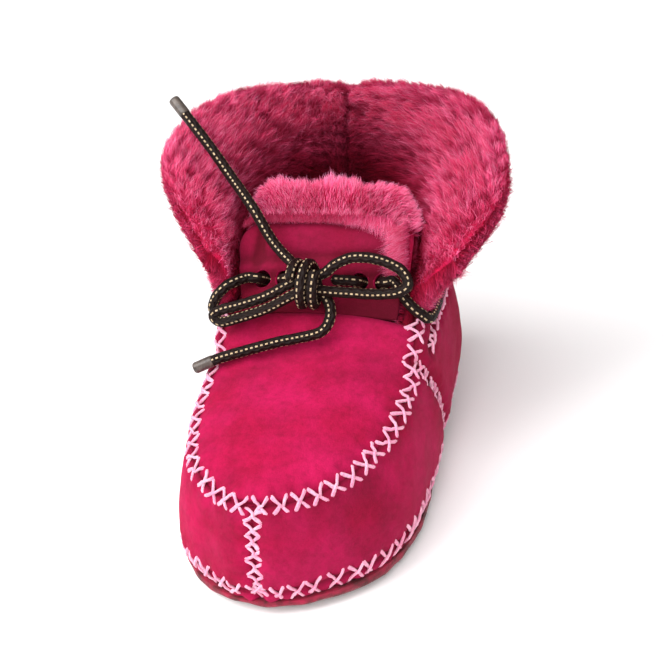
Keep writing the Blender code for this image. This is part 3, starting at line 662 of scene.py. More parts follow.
def side_seam(sign):
    rises = np.linspace(0.03, 0.97, 60)
    angles = np.linspace(0.25, math.pi - 0.25, 500) * sign
    line = []
    for rise in rises:
        wall = wall_point(angles, rise)
        share = (wall[:, 2] - SOLE_JOINT) / (ANKLE_HEIGHT - SOLE_JOINT)
        seam_y = SIDE_SEAM_FOOT * (1 - share) + SIDE_SEAM_HEAD * share
        line.append(wall[np.abs(wall[:, 1] - seam_y).argmin()])
    return np.array(line)


seam_end = THROAT_ANGLE + SEAM_PAST_THROAT
plug_seam = wall_point(np.linspace(-seam_end, seam_end, 900), 1.0)
toe_seam = wall_point(0.0, np.linspace(0.03, 1.0, 120))
foot_angles = np.linspace(-math.pi, math.pi, 900)
sole_seam = wall_point(foot_angles, SOLE_SEAM_LIFT / (top_edge(foot_angles)[:, 2] - SOLE_JOINT))
collar_angles = np.linspace(THROAT_ANGLE, 2 * math.pi - THROAT_ANGLE, 700)
collar_seam = wall_point(collar_angles, COLLAR_SEAM_RISE)
side_seams = [side_seam(1), side_seam(-1)]
print("plug seam", round(route_length(plug_seam), 3), "m")
print("sole seam", round(route_length(sole_seam), 3), "m")

# %% [markdown]
# The upper is one skin: the walls are a grid wrapped round the last, the front panel is a second grid
# across it, and they are merged along the plug seam. Leather sinks under each line of thread and puffs
# up beside it. Creases are listed where this shoe bends. Painted shade is worked out for the same
# places, in the seams and creases, under the lace, on the toe and down the right side, and stored on
# the surface.

# %% The suede upper
COLUMNS, WALL_ROWS, VAMP_LANES = 336, 46, 48
SEAM_SINK, SIDE_SEAM_SINK, PUCKER, SEAM_SWELL = 0.0007, 0.0011, 0.00030, 0.00022
# A crease runs between two plan points. Columns: x, y, x, y, width, depth
CREASES = [
    (-0.017, -0.0035, 0.016, -0.0030, 0.0020, 0.0011),
    (-0.012, -0.0085, 0.019, -0.0070, 0.0028, 0.0009),
    (0.004, -0.0140, 0.022, -0.0110, 0.0035, 0.0004),
    (-0.022, -0.0160, -0.010, -0.0120, 0.0035, 0.0003),
    (-0.018, -0.0560, -0.012, -0.0500, 0.0050, 0.0008),
    (0.008, -0.0610, 0.014, -0.0560, 0.0050, 0.0006),
]


def plan_gap(points, x0, y0, x1, y1):
    a, run = np.array([x0, y0]), np.array([x1 - x0, y1 - y0])
    t = np.clip((points[:, :2] - a) @ run / (run @ run), 0, 1)
    return np.linalg.norm(points[:, :2] - a - t[:, None] * run, axis=1)


def top_height(points):
    """The height of the top edge over each point."""
    station = (points[:, 1] + LENGTH / 2 - TOE_SETBACK) / (LENGTH - TOE_SETBACK - HEEL_SETBACK)
    return along(LAST, TOP_HEIGHT, np.clip(station, 0, 1)) * ANKLE_HEIGHT


def by_the_seams(points):
    """How far the leather sinks at each of the points because of the seams, and how much painted shade
    it gets there.
    """
    sink, dark = np.zeros(len(points)), np.zeros(len(points))
    for line in (plug_seam, toe_seam, sole_seam, collar_seam, *side_seams):
        gap, at = near_line(points, line)
        pucker = bell(gap - 0.0026, 0.0017) * np.cos(2 * math.pi * at / STITCH_PITCH)
        swollen = bell(gap - 0.0036, 0.0024)
        sink += SEAM_SINK * bell(gap, 0.0010) - PUCKER * pucker - SEAM_SWELL * swollen
        if line is side_seams[0] or line is side_seams[1]:
            sink += SIDE_SEAM_SINK * bell(gap, 0.0030)
        # Painted shade in the trough of the stitching, and a little of it to each side.
        dark = np.maximum(dark, 0.8 * bell(gap, 0.0013))
        dark = np.maximum(dark, 0.22 * bell(gap, 0.0042))
    return sink, dark


def toe_painted_shade(points):
    """Painted shade on the leather: the lace's shadow below it, shade in the fold under the toe's edge,
    and on the walls next to the toe's stitching.
    """
    lace_shadow = bell(points[:, 1] - 0.001, 0.007) * (points[:, 2] > 0.036)
    below = np.clip((top_height(points) - points[:, 2]) / 0.010, 0, 1)
    on_wall = below > 0.02
    fold = 0.62 * bell(below - 0.22, 0.30) * (points[:, 1] < -0.040) * on_wall
    fold = fold * (0.75 + 0.35 * waves(points, 0.009, 6)) * bell(points[:, 0], 0.020)
    toe_wall = np.clip((-0.034 - points[:, 1]) / 0.008, 0, 1) * on_wall
    from_seam = points[:, 0] + TOE_SWING
    shade_beside_toe = 0.55 * np.clip(from_seam / 0.003, 0, 1) + 0.62 * bell(from_seam + 0.006, 0.0055)
    return np.maximum(np.maximum(0.30 * lace_shadow, fold), toe_wall * shade_beside_toe * (1 - 0.4 * below))


def build_upper():
    angles = np.linspace(0, 2 * math.pi, COLUMNS + 1)
    rises = np.linspace(0, 1, WALL_ROWS + 1)[:, None]
    walls = shaped_grid("upper_suede", wall_point(angles[None, :], rises))
    stations = angles[: COLUMNS // 4 + 1, None]
    shares = np.linspace(0, 1, VAMP_LANES + 1)[None, :]
    vamp = shaped_grid("vamp", vamp_point(stations, shares))
    upper = edit(joined(walls, vamp), MERGE, FACE_OUT)
    points, out = positions(upper), normals(upper)
    middle = np.array([0.0, 0.0, 0.02])
    if ((points - middle) * out).sum(1).mean() < 0:
        edit(upper, (bpy.ops.mesh.flip_normals, {}))
        out = -out
    sink, dark = by_the_seams(points)
    # Each crease sinks the leather and gets painted shade.
    for x0, y0, x1, y1, width, depth in CREASES:
        dent = bell(plan_gap(points, x0, y0, x1, y1), width)
        sink += depth * dent
        dark = np.maximum(dark, 0.30 * dent)
    sink += 0.00026 * waves(points, 0.016, 3) + 0.00010 * waves(points, 0.005, 4)
    dark = np.maximum(dark, toe_painted_shade(points))
    # Painted shade down the right side, which faces away from the key light.
    dark += 0.30 * np.clip((points[:, 0] - 0.012) / 0.018, 0, 1)
    store(upper, "seam_and_painted_shade", np.clip(dark + 0.05 * waves(points, 0.006, 7), 0, 1))
    place_points(upper, points - out * sink[:, None])
    apply(upper, "SOLIDIFY", thickness=SKIN, offset=-1, use_quality_normals=True)
    upper.data.shade_smooth()
    upper.data.materials.append(suede)
    return upper


upper = build_upper()
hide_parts("upper")
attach(upper, "root")
print("upper", len(upper.data.polygons), "faces")

# %% [markdown]
# The sole is a shallow tray of rough leather whose edge turns up to meet the wall. It is
# drawn as loops round the foot, from the flat underside over the rounded edge to the
# joint, and on into the tray. Its cut edge shows as a thin grey-brown line.

# %% The sole's leather
def make_sole_leather():
    f = Finish("rough sole leather", 0.85, Sheen_Weight=0.15, Sheen_Tint=rgb(230, 200, 200))
    colour = f.blend(f.span(f.noise(320, 4.0, 0.7), 0.35, 0.7), rgb(104, 76, 78), rgb(146, 114, 112))
    scuffs = f.span(f.noise(90, 4.0, 0.75, stretch=(1.0, 0.3, 1.0)), 0.55, 0.75)
    colour = f.blend(f.math("MULTIPLY", scuffs, 0.5), colour, rgb(112, 82, 84))
    split = f.add("ShaderNodeSeparateXYZ")
    f.join(f.place, split.inputs[0])
    ragged = f.math("ADD", split.outputs[2], f.span(f.noise(400, 3.0), 0.3, 0.7, -0.0004, 0.0004))
    hem = f.blend(f.span(f.noise(300, 3.0), 0.35, 0.7), SUEDE_DEEP, SUEDE)
    colour = f.blend(f.span(ragged, 0.0018, 0.0024), colour, hem)
    grain = f.bump(f.noise(1500, 5.0, 0.7), 0.0004, 0.6)
    return f.done(colour, grain, f.span(scuffs, 0.0, 1.0, 0.9, 0.7))


def foot_loop(inset, height, angles):
    edge = sole_edge(angles) + outward(sole_edge, angles) * np.asarray(SOLE_WELT - inset)[..., None]
    station = (1 - np.cos(angles)) / 2
    lift = TOE_SPRING * np.maximum(0.0, 1 - station / TOE_SPRING_SHARE) ** 2
    edge[..., 2] = height + lift * (1 - height / SOLE_JOINT)
    return swung(edge)


def flat_disc(inset, height, angles, fills):
    """Rows from the loop inwards to its middle line, for a flat face of the sole."""
    rim = foot_loop(inset, height, angles)
    spine = rim.copy()
    spine[..., 0] = rim[..., 0].mean()
    return [rim * (1 - k) + spine * k for k in fills]


def build_sole():
    angles = np.linspace(0, 2 * math.pi, 321)
    # Columns: height, inset
    steps = [
        (0.0, SOLE_ROUNDING),
        (SOLE_ROUNDING * 0.16, SOLE_ROUNDING * 0.45),
        (SOLE_ROUNDING * 0.5, SOLE_ROUNDING * 0.12),
        (SOLE_JOINT * 0.7, 0.0),
        (SOLE_JOINT - GAP, 0.0002),
        (SOLE_JOINT - GAP, SOLE_THICKNESS + SOLE_WELT),
        (SOLE_THICKNESS * 1.4, SOLE_THICKNESS * 1.15 + SOLE_WELT),
        (SOLE_THICKNESS, SOLE_ROUNDING + SOLE_THICKNESS * 0.7),
    ]
    heights, insets = zip(*steps)
    rows = flat_disc(SOLE_ROUNDING, 0.0, angles, (1.0, 0.66, 0.33))
    rows += [foot_loop(inset, height, angles) for height, inset in zip(heights, insets)]
    rows += flat_disc(insets[-1], heights[-1], angles, (0.33, 0.66, 1.0))
    sole = edit(shaped_grid("sole_leather", np.array(rows)), MERGE, FACE_OUT)
    points, out = positions(sole), normals(sole)
    edge_only = np.clip(points[:, 2] / 0.002, 0, 1)
    points += out * (0.00018 * waves(points, 0.004, 8) * edge_only)[:, None]
    place_points(sole, points)
    soften(sole, 0.0003)
    sole.data.shade_smooth()
    sole.data.materials.append(make_sole_leather())
    return sole


sole = build_sole()
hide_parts("outsole")
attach(sole, "root")
print("sole", len(sole.data.polygons), "faces")

# %% [markdown]
# The thread is a soft doubled cotton in pale pink. Each cross is two stitches, one over
# the other, that come out of the leather and go back in. Every strand is a short tube
# laid on the finished surface, so it rides over the puckers, and no two are quite alike.

# %% The crossed stitches
THREAD, CROSS_WIDTH, STITCH_ROOT = 0.00074, 0.0052, 0.0006


def surface_of(*pieces):
    verts, faces = [], []
    for piece in pieces:
        base = len(verts)
        verts += [v.co.copy() for v in piece.data.vertices]
        faces += [tuple(i + base for i in p.vertices) for p in piece.data.polygons]
    return BVHTree.FromPolygons(verts, faces)


def laid(surface, point, lift, guess):
    """A point set on the surface and lifted off it, to the side that the guess names."""
    spot, out, _, _ = surface.find_nearest(Vector(point))
    out = np.array(out)
    if out @ guess < 0:
        out = -out
    return np.array(spot) + out * lift


def outer_way(point):
    """Roughly outwards at a place on the shoe."""
    return unit(np.array([point[0], point[1] * 0.35, (point[2] - 0.018) * 1.2]))


def stitch_leg(surface, start, end, over, parts):
    run = unit(end - start)
    guess = outer_way((start + end) / 2)
    aside = unit(np.cross(guess, run))
    bow = rng.normal(0, 0.00018)
    for strand in (-1, 1):
        t = np.linspace(0, 1, 8)
        path = start + (end - start) * t[:, None]
        twist = strand * THREAD * 0.42 * np.cos(t * 2.6 + strand)
        path += aside * (twist + bow * np.sin(math.pi * t))[:, None]
        rise = np.sin(math.pi * t) ** 0.55
        lifts = -STITCH_ROOT + (STITCH_ROOT + THREAD * 0.55 + over * bell(t - 0.5, 0.16)) * rise
        lifts += strand * 0.00008 * np.sin(t * 5)
        path = np.array([laid(surface, p, lift, guess) for p, lift in zip(path, lifts)])
        parts.append(tube_arrays(path, THREAD / 2 * rng.uniform(0.88, 1.08), sides=6))


def crosses(surface, parts, line, pitch, width, reach):
    """Crosses along a seam line, at about the given pitch but evenly from end to end."""
    along_line = reach_along(line)
    count = round(along_line[-1] / pitch)
    pitch = along_line[-1] / count

    def spot(at):
        return np.stack([np.interp(at, along_line, line[:, k]) for k in range(3)], -1)

    for k in range(count):
        at = (k + 0.5) * pitch + rng.normal(0, 0.06) * pitch
        half = pitch * reach / 2
        before, after = spot(at - half), spot(at + half)
        aside = unit(np.cross(outer_way(spot(at)), after - before))
        wide = width / 2 * rng.uniform(0.9, 1.08)
        shift = aside * rng.normal(0, 0.0002)
        skew = rng.normal(0, 0.00025, 4)
        run = unit(after - before)
        for sign, over in ((1, 0.0), (-1, THREAD)):
            a = before + aside * wide * sign + shift + run * skew[0]
            b = after - aside * wide * sign + shift + run * skew[1]
            stitch_leg(surface, a, b, over, parts)
    return count


def make_thread():
    f = Finish("pale pink thread", 0.8, Sheen_Weight=0.4, Sheen_Tint=rgb(255, 225, 235))
    uv = f.add("ShaderNodeUVMap", uv_map="UVMap").outputs["UV"]
    fibres = f.noise(60, 3.0, 0.6, stretch=(0.16, 40.0, 1.0), place=uv)
    tone = f.span(f.noise(300, 2.0), 0.35, 0.65)
    colour = f.blend(tone, rgb(226, 138, 170), rgb(238, 176, 198))
    colour = f.blend(f.span(fibres, 0.5, 0.75), colour, rgb(206, 96, 138))
    return f.done(colour, f.bump(fibres, 0.0002, 0.6))


def build_stitches():
    surface = surface_of(upper, sole)
    # Columns: line, pitch, width of a cross, its length as a share of the pitch
    rows = [
        (plug_seam, STITCH_PITCH, CROSS_WIDTH, 0.90),
        (toe_seam[3:119], 0.0037, 0.0050, 1.08),
        (sole_seam, 0.0050, 0.0070, 0.86),
        (side_seams[0][2:58], 0.0040, 0.0042, 0.86),
        (side_seams[1][2:58], 0.0040, 0.0042, 0.86),
        (collar_seam, 0.0040, 0.0044, 0.86),
    ]
    parts = []
    counts = [crosses(surface, parts, *row) for row in rows]
    stitches = tubes("cross_stitches", parts)
    stitches.data.materials.append(make_thread())
    return stitches, counts


stitches, counts = build_stitches()
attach(stitches, "root")
print("crosses", counts, "faces", len(stitches.data.polygons))

# %% [markdown]
# The lace's braid is modelled as relief: two families of strands wind in opposite ways
# and stand proud by turns. Pale flecks sit in four rows along it. Both patterns follow the
# tube's own map, so they keep their size round every bend. A smoked sleeve ends the lace.

# %% The lace's finish
LACE_STEP, BRAID_PITCH, FLECK_PITCH, TIP_LENGTH = 0.00042, 0.0042, 0.00135, 0.0065


def braid(turn, along_cord):
    left = np.cos(2 * math.pi * (3 * turn + along_cord / BRAID_PITCH))
    right = np.cos(2 * math.pi * (3 * turn - along_cord / BRAID_PITCH))
    return 0.035 * np.maximum(left, right) - 0.02


def make_lace_finish():
    f = Finish("dark braid", 0.75, Specular_IOR_Level=0.15)
    uv = f.add("ShaderNodeUVMap", uv_map="UVMap").outputs["UV"]
    split = f.add("ShaderNodeSeparateXYZ")
    f.join(uv, split.inputs[0])
    turn, reach = split.outputs[0], split.outputs[1]
    row = f.math("ABSOLUTE", f.math("SUBTRACT", f.math("FRACT", f.math("MULTIPLY", turn, 4.0)), 0.5))
    in_row = f.math("LESS_THAN", row, 0.095)
    stagger = f.math("MULTIPLY", f.math("FLOOR", f.math("MULTIPLY", turn, 4.0)), 0.5)
    step = f.math("FRACT", f.math("ADD", f.math("MULTIPLY", reach, 1 / FLECK_PITCH), stagger))
    in_dash = f.math("LESS_THAN", f.math("ABSOLUTE", f.math("SUBTRACT", step, 0.5)), 0.25)
    fleck = f.math("MULTIPLY", in_row, in_dash)
    tone = f.span(f.noise(900, 3.0), 0.3, 0.7)
    dark = f.blend(tone, rgb(11, 5, 4), rgb(32, 17, 14))
    pale = f.blend(tone, rgb(156, 130, 98), rgb(206, 184, 150))
    colour = f.blend(fleck, dark, pale)
    strands = []
    for sign in (1, -1):
        wound = f.math("ADD", f.math("MULTIPLY", turn, 6.0), f.math("MULTIPLY", reach, sign / 0.0027))
        strands.append(f.math("SINE", f.math("MULTIPLY", wound, 2 * math.pi)))
    weave = f.math("MAXIMUM", *strands)
    fibres = f.bump(f.noise(5200, 3.0, 0.7), 0.0002, 0.4)
    return f.done(colour, f.bump(weave, 0.00016, 0.8, after=fibres), f.span(fleck, 0, 1, 0.55, 0.75))


def make_tip_finish():
    f = Finish("smoked tip", 0.38, Coat_Weight=0.15, Coat_Roughness=0.25)
    tone = f.span(f.noise(500, 3.0, 0.7, stretch=(1.0, 1.0, 0.3)), 0.35, 0.7)
    colour = f.blend(tone, rgb(46, 36, 32), rgb(96, 84, 76))
    return f.done(colour, f.bump(f.noise(1600, 3.0), 0.0002, 0.3))


lace_finish, tip_finish = make_lace_finish(), make_tip_finish()
print("lace finish", len(lace_finish.node_tree.nodes), "nodes")

# %% [markdown]
# One lace makes the whole bow. It comes out of the two inner holes of the tongue, and its
# ends leave the knot, so every loose piece starts inside the knot. The stretch that is
# threaded goes through the holes, round the corners of the cuff and behind the heel.

# %% The lace's pieces


def lace_piece(name, node, points):
    route = smooth_route(points, LACE_STEP)
    tube = tube_arrays(route, LACE_DIAMETER / 2, sides=18, relief=braid, taper=0.0007)
    piece = tubes(name, [tube])
    piece.data.materials.append(lace_finish)
    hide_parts(node)
    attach(piece, "root")
    return piece, route


def lace_tip(name, route):
    """A sleeve over the last stretch of an end, with rolled edges."""
    reach = reach_along(route)
    sleeve = route[reach > reach[-1] - TIP_LENGTH]
    sleeve = sleeve + (sleeve[-1] - sleeve[-2]) * 0.2
    piece = tubes(name, [tube_arrays(sleeve, LACE_DIAMETER / 2 + 0.00012, sides=20, taper=0.0005)])
    piece.data.materials.append(tip_finish)
    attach(piece, "root")
    return piece


def knot_points():
    up = np.array([0.0, math.cos(TONGUE_LEAN), math.sin(TONGUE_LEAN)])
    front = np.array([0.0, -up[2], up[1]])
    turns = KNOT_TURNS * np.arange(37)[:, None] / 36
    shift = np.array([KNOT_PITCH, 0.0, 0.0]) * (turns - KNOT_TURNS / 2)
    angle = 2 * math.pi * turns
    return KNOT_MIDDLE + shift + (front * np.cos(angle) + up * np.sin(angle)) * KNOT_RADIUS


def ankle_points():
    """From the knot through the right holes, round the ankle and back through the left ones."""
    clear = LACE_DIAMETER / 2 + 2 * GAP
    behind = TONGUE_THICKNESS + clear
    # Columns: sideways from the middle of the tongue, lift off its front face
    threaded = [
        (KNOT_CLEAR_RIGHT, clear * 1.4),
        (INNER_HOLE - 0.0034, clear * 1.1),
        (INNER_HOLE - 0.0014, clear * 0.9),
        (INNER_HOLE - 0.0003, clear * 0.45),
        (INNER_HOLE, -TONGUE_THICKNESS / 2),
        (INNER_HOLE + 0.0003, clear * 0.45 - behind),
        (INNER_HOLE + 0.0012, -behind),
        ((INNER_HOLE + OUTER_HOLE) / 2, -behind * 1.05),
        (OUTER_HOLE - 0.0012, -behind),
        (OUTER_HOLE - 0.0003, clear * 0.45 - behind),
        (OUTER_HOLE, -TONGUE_THICKNESS / 2),
        (OUTER_HOLE + 0.0003, clear * 0.45),
        (OUTER_HOLE + 0.0014, clear * 0.9),
        (OUTER_HOLE + 0.0036, clear * 1.15),
    ]
    right = [tongue_point(place, HOLE_HEIGHT, lift) for place, lift in threaded]
    left = [tongue_point(-place, HOLE_HEIGHT, lift) for place, lift in threaded]
    left[0] = tongue_point(-KNOT_CLEAR_LEFT, HOLE_HEIGHT, clear * 1.4)
    right += [np.array(p) for p in LACE_CORNER_RIGHT]
    left += [np.array(p) for p in LACE_CORNER_LEFT]
    angles = 2 * math.pi * np.arange(20, 46, 2) / 64
    ankle = wall_point(angles, ANKLE_LACE_RISE) + outward(top_edge, angles) * clear
    return right + list(ankle) + left[::-1]


lace_ankle, ankle_route = lace_piece("lace_round_ankle", "lace_ankle", ankle_points())
knot, knot_route = lace_piece("lace_bow_knot", "lace_knot", knot_points())
loop_left, left_route = lace_piece("lace_bow_loop_left", "lace_loop_left", LOOP_LEFT)
loop_right, right_route = lace_piece("lace_bow_loop_right", "lace_loop_right", LOOP_RIGHT)
end_long, long_route = lace_piece("lace_tail_long", "lace_end_long", END_LONG)
end_short, short_route = lace_piece("lace_tail_short", "lace_end_short", END_SHORT)
tip_long = lace_tip("lace_tip_long", long_route)
tip_short = lace_tip("lace_tip_short", short_route)
lace_routes = (ankle_route, knot_route, left_route, right_route, long_route, short_route)
print("lace", round(sum(route_length(route) for route in lace_routes), 3), "m")

# %% [markdown]
# The tongue is a plate of suede with four round holes for the lace. It starts as a grid
# on the tongue's surface, gets its thickness, and then each hole is cut by a cylinder.
# Leather gives way under a drawn lace, so it is pressed in round the holes and wrinkled.

# %% The tongue's leather
HOLES = (-OUTER_HOLE, -INNER_HOLE, INNER_HOLE, OUTER_HOLE)


def cut_hole(tongue, hole):
    """Cuts a round hole square through the tongue."""
    middle = Vector(tongue_point(hole, HOLE_HEIGHT, -TONGUE_THICKNESS / 2))
    front = Vector(tongue_point(hole, HOLE_HEIGHT, 0.0))
    depth = TONGUE_THICKNESS * 4
    bpy.ops.mesh.primitive_cylinder_add(
        vertices=32, radius=LACE_HOLE / 2, depth=depth, location=middle
    )
    cutter = bpy.context.object
    cutter.rotation_mode = "QUATERNION"
    cutter.rotation_quaternion = (front - middle).to_track_quat("Z", "Y")
    apply(tongue, "BOOLEAN", operation="DIFFERENCE", solver="EXACT", object=cutter)
    bpy.data.objects.remove(cutter)


def build_tongue():
    rows = TONGUE_LENGTH * (1 - (1 - np.linspace(0, 1, 60)) ** 1.35)[:, None]
    across = np.linspace(-1, 1, 91)[None, :]
    half = tongue_half(rows, TONGUE_WIDTH, TONGUE_LENGTH, TONGUE_CORNER)
    sideways = half * across - TONGUE_SLIP * rows / TONGUE_LENGTH
    dent = np.zeros(np.broadcast(rows, across).shape)
    for hole in HOLES:
        away = np.hypot(sideways - hole, rows - HOLE_HEIGHT)
        dent += 0.0007 * bell(away, 0.0042)
        dent += 0.00035 * bell(away, 0.008) * np.cos((rows - HOLE_HEIGHT) / 0.0011)
    # A fold runs down the left side, a second one across, and the top edge rolls back
    bend = sideways + 0.0172 - 0.10 * (rows - 0.016) - 9 * (rows - 0.014) ** 2
    fold = 0.0012 * bell(bend, 0.0014) * np.clip((rows - 0.009) / 0.006, 0, 1)
    crossways = 0.0007 * bell(rows - 0.0145 - sideways * 0.06, 0.0013)
    rolled = 0.0009 * np.clip((rows - TONGUE_LENGTH + 0.0035) / 0.0035, 0, 1) ** 2
    # Painted shade over the whole tongue, deeper to the right, low down and in its dents, fold and
    # crease.
    low, shade_to_right = np.clip((0.014 - rows) / 0.012, 0, 1), np.clip(sideways / 0.018, 0, 1)
    creased = (0.25 * dent + 0.4 * fold + 0.3 * crossways) / 0.0009
    dark = np.clip(0.66 + 0.20 * shade_to_right + 0.20 * low + creased, 0, 1)
    place = tongue_point(sideways, rows, -dent - fold - crossways - rolled)
    tongue = shaped_grid("tongue_suede", place, dark)
    points, out = positions(tongue), normals(tongue)
    if out[:, 1].mean() > 0:
        edit(tongue, (bpy.ops.mesh.flip_normals, {}))
        out = -out
    place_points(tongue, points + out * (0.00034 * waves(points, 0.009, 21))[:, None])
    apply(tongue, "SOLIDIFY", thickness=TONGUE_THICKNESS * 0.94, offset=-1)
    for hole in HOLES:
        cut_hole(tongue, hole)
    tongue.data.shade_smooth()
    tongue.data.materials.clear()
    tongue.data.materials.append(suede)
    return tongue


tongue = build_tongue()
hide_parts("tongue")
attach(tongue, "root")
print("tongue", len(tongue.data.polygons), "faces")

# %% [markdown]
# The cuff is the upper's own skin, turned out over the ankle. Its section is a curve with
# four handles that changes on the way from a front corner round the back to the other.
# Leather makes its outer face and its cut edge, with painted shade along the edge and over the front of
# the cuff. Wool fills its inner face.

# %% The cuff's leather
CUFF_START, CUFF_REACH, CUFF_CLIMB, CUFF_SLUMP = math.radians(5), 0.018, 0.034, 0.004
CUFF_HANDLE, CUFF_THICKNESS, CUFF_FLEECE, CUFF_OVERHANG = 0.38, 0.0020, 0.0090, 0.0040
FRONT_SHARE, BACK_SEAM_WAY, BACK_SEAM_DEPTH = 0.30, 0.035, 0.45

# Columns: way round from corner to back, reach, climb, root slope, rim slope, root wool, wool, slump
CUFF = np.array([
    (0.00, 0.44, 0.37, 60, 36, 0.12, 0.30, 0.85),
    (0.10, 0.92, 0.60, 62, 26, 0.12, 0.80, 0.80),
    (0.25, 1.12, 0.76, 66, 26, 0.10, 0.95, 0.20),
    (0.45, 0.94, 0.94, 80, 40, 0.40, 1.00, 0.00),
    (0.70, 0.44, 0.97, 90, 60, 0.55, 1.05, 0.00),
    (1.00, 0.10, 0.97, 92, 70, 0.60, 1.10, 0.00),
])
REACH, CLIMB, ROOT_SLOPE, RIM_SLOPE, ROOT_WOOL, WOOL, SLUMP = range(1, 8)


def cuff_point(way, t, lift):
    """A point on the cuff at t of its section, lifted off its inner face. Gives its length too."""
    way, t, lift = arrays(way, t, lift)
    angle = math.pi + way * (math.pi - THROAT_ANGLE - CUFF_START)
    edge, out = swung(top_edge(angle)), outward(top_edge, angle)
    share = 1 - np.abs(way)
    slump = np.sign(way) * along(CUFF, SLUMP, share) * CUFF_SLUMP
    reach = along(CUFF, REACH, share) * CUFF_REACH - slump
    climb = along(CUFF, CLIMB, share) * CUFF_CLIMB
    low = np.radians(along(CUFF, ROOT_SLOPE, share))
    high = np.radians(along(CUFF, RIM_SLOPE, share))
    length = np.hypot(reach, climb)
    handle = length * CUFF_HANDLE
    above = GAP + CUFF_THICKNESS * np.maximum(0.0, np.cos(low))
    a = np.stack([-CUFF_THICKNESS * np.sin(low), above], -1)
    d = a + np.stack([reach, climb], -1)
    b = a + np.stack([handle * np.cos(low), handle * np.sin(low)], -1)
    c = d - np.stack([handle * np.cos(high), handle * np.sin(high)], -1)
    at = np.minimum(t, 1.0)[..., None]
    rest = 1 - at
    place = a * rest**3 + b * 3 * rest**2 * at + c * 3 * rest * at**2 + d * at**3
    run = unit((b - a) * rest**2 + (c - b) * 2 * rest * at + (d - c) * at**2)
    place = place + run * ((t - at[..., 0]) * length)[..., None]
    place = place + np.stack([-run[..., 1], run[..., 0]], -1) * lift[..., None]
    points = edge + out * place[..., :1]
    points[..., 2] += place[..., 1]
    return points, length


def build_cuff():
    ways = np.linspace(-1, 1, 241)[None, :]
    t = np.concatenate([np.linspace(0, 1, 26), np.linspace(1, 0, 26), [0.0]])[:, None]
    lift = np.concatenate([np.zeros(26), np.full(26, -CUFF_THICKNESS), [0.0]])[:, None]
    cuff = edit(shaped_grid("cuff_suede", cuff_point(ways, t, lift)[0]), MERGE, CLOSE, FACE_OUT)
    points, out = positions(cuff), normals(cuff)
    rumple = 0.0003 * waves(points, 0.012, 31) + 0.00012 * waves(points, 0.004, 32)
    place_points(cuff, points + out * rumple[:, None])
    soften(cuff, 0.0004)
    points = positions(cuff)
    # Painted shade along the rim's cut edge and over the front of the cuff.
    rim = cuff_point(np.linspace(-1, 1, 400), 1.0, -CUFF_THICKNESS / 2)[0]
    gap, _ = near_line(points, rim)
    corner = np.clip((0.030 - points[:, 1]) / 0.024, 0, 1) * (points[:, 2] > 0.045)
    store(cuff, "seam_and_painted_shade", np.clip(bell(gap, 0.0017) * 0.85 + 0.30 * corner, 0, 1))
    cuff.data.shade_smooth()
    cuff.data.materials.append(suede)
    return cuff


cuff = build_cuff()
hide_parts("cuff")
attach(cuff, "root")
print("cuff", len(cuff.data.polygons), "faces")

# %% [markdown]
# Wool is made in two layers. Below is a soft body with the fleece's lumps, coloured like
# the shade between fibres. On it stand the fibres, each a flat blade of two lengths that
# narrows to a point. Neighbours lean together into small locks, which is what makes
# sheepskin look curly rather than combed. Blades cost three faces each, so tens of
# thousands can be real.

# %% Wool
WOOL_TIP_HIGHLIGHT, WOOL_MIDDLE = rgb(255, 180, 216), rgb(255, 92, 150)
WOOL_SHADE, WOOL_DEEP = rgb(216, 26, 72), rgb(92, 2, 12)
WOOL_FUZZ = {"Specular_IOR_Level": 0.05, "Sheen_Weight": 0.06, "Sheen_Tint": rgb(255, 120, 170)}


def make_fibres():
    """Each fibre has its own tone. It is painted in shade at its root, pales towards its tip as a
    painted highlight where light reaches it, and is deep red where light is short.
    """
    f = Finish("dyed wool fibres", 0.85, **WOOL_FUZZ)
    tip, tone, light = f.attribute("tip"), f.attribute("tone"), f.attribute("open")
    colour = f.blend(f.span(tip, 0.0, 0.7), WOOL_SHADE, WOOL_MIDDLE)
    pale = f.math("MULTIPLY", f.span(tip, 0.5, 1.0), f.span(tone, 0.25, 1.0))
    # A painted highlight pales the tips where light reaches them.
    colour = f.blend(f.math("MULTIPLY", pale, f.span(light, 0.2, 0.9)), colour, WOOL_TIP_HIGHLIGHT)
    colour = f.blend(f.math("MULTIPLY", f.span(tone, 0.4, 0.0), 0.6), colour, WOOL_SHADE)
    patches = f.span(f.noise(150, 3.0), 0.42, 0.72)
    colour = f.blend(f.math("MULTIPLY", patches, 0.45), colour, WOOL_SHADE)
    colour = f.blend(f.span(light, 0.1, 0.8), WOOL_SHADE, colour)
    return f.done(f.blend(light, WOOL_DEEP, colour))


def make_wool_body():
    f = Finish("dyed wool body", 0.95, **WOOL_FUZZ)
    lumps = f.span(f.noise(420, 4.0, 0.65), 0.35, 0.7)
    colour = f.blend(lumps, rgb(196, 36, 84), WOOL_SHADE)
    # Painted shade stored on the body deepens its colour where little light reaches.
    colour = f.blend(f.attribute("seam_and_painted_shade"), colour, WOOL_DEEP)
    return f.done(colour, f.bump(f.noise(900, 4.0, 0.7), 0.0012, 0.9))


fibres_finish, body_finish = make_fibres(), make_wool_body()
FIBRE_WIDTH, MIDDLE_SHARE = 0.00017, 0.58
# How much of the light reaches each of a blade's five points: two at its root, two midway, its tip
LIGHT_UP_A_BLADE = np.array([0.45, 0.45, 0.86, 0.86, 1.0])


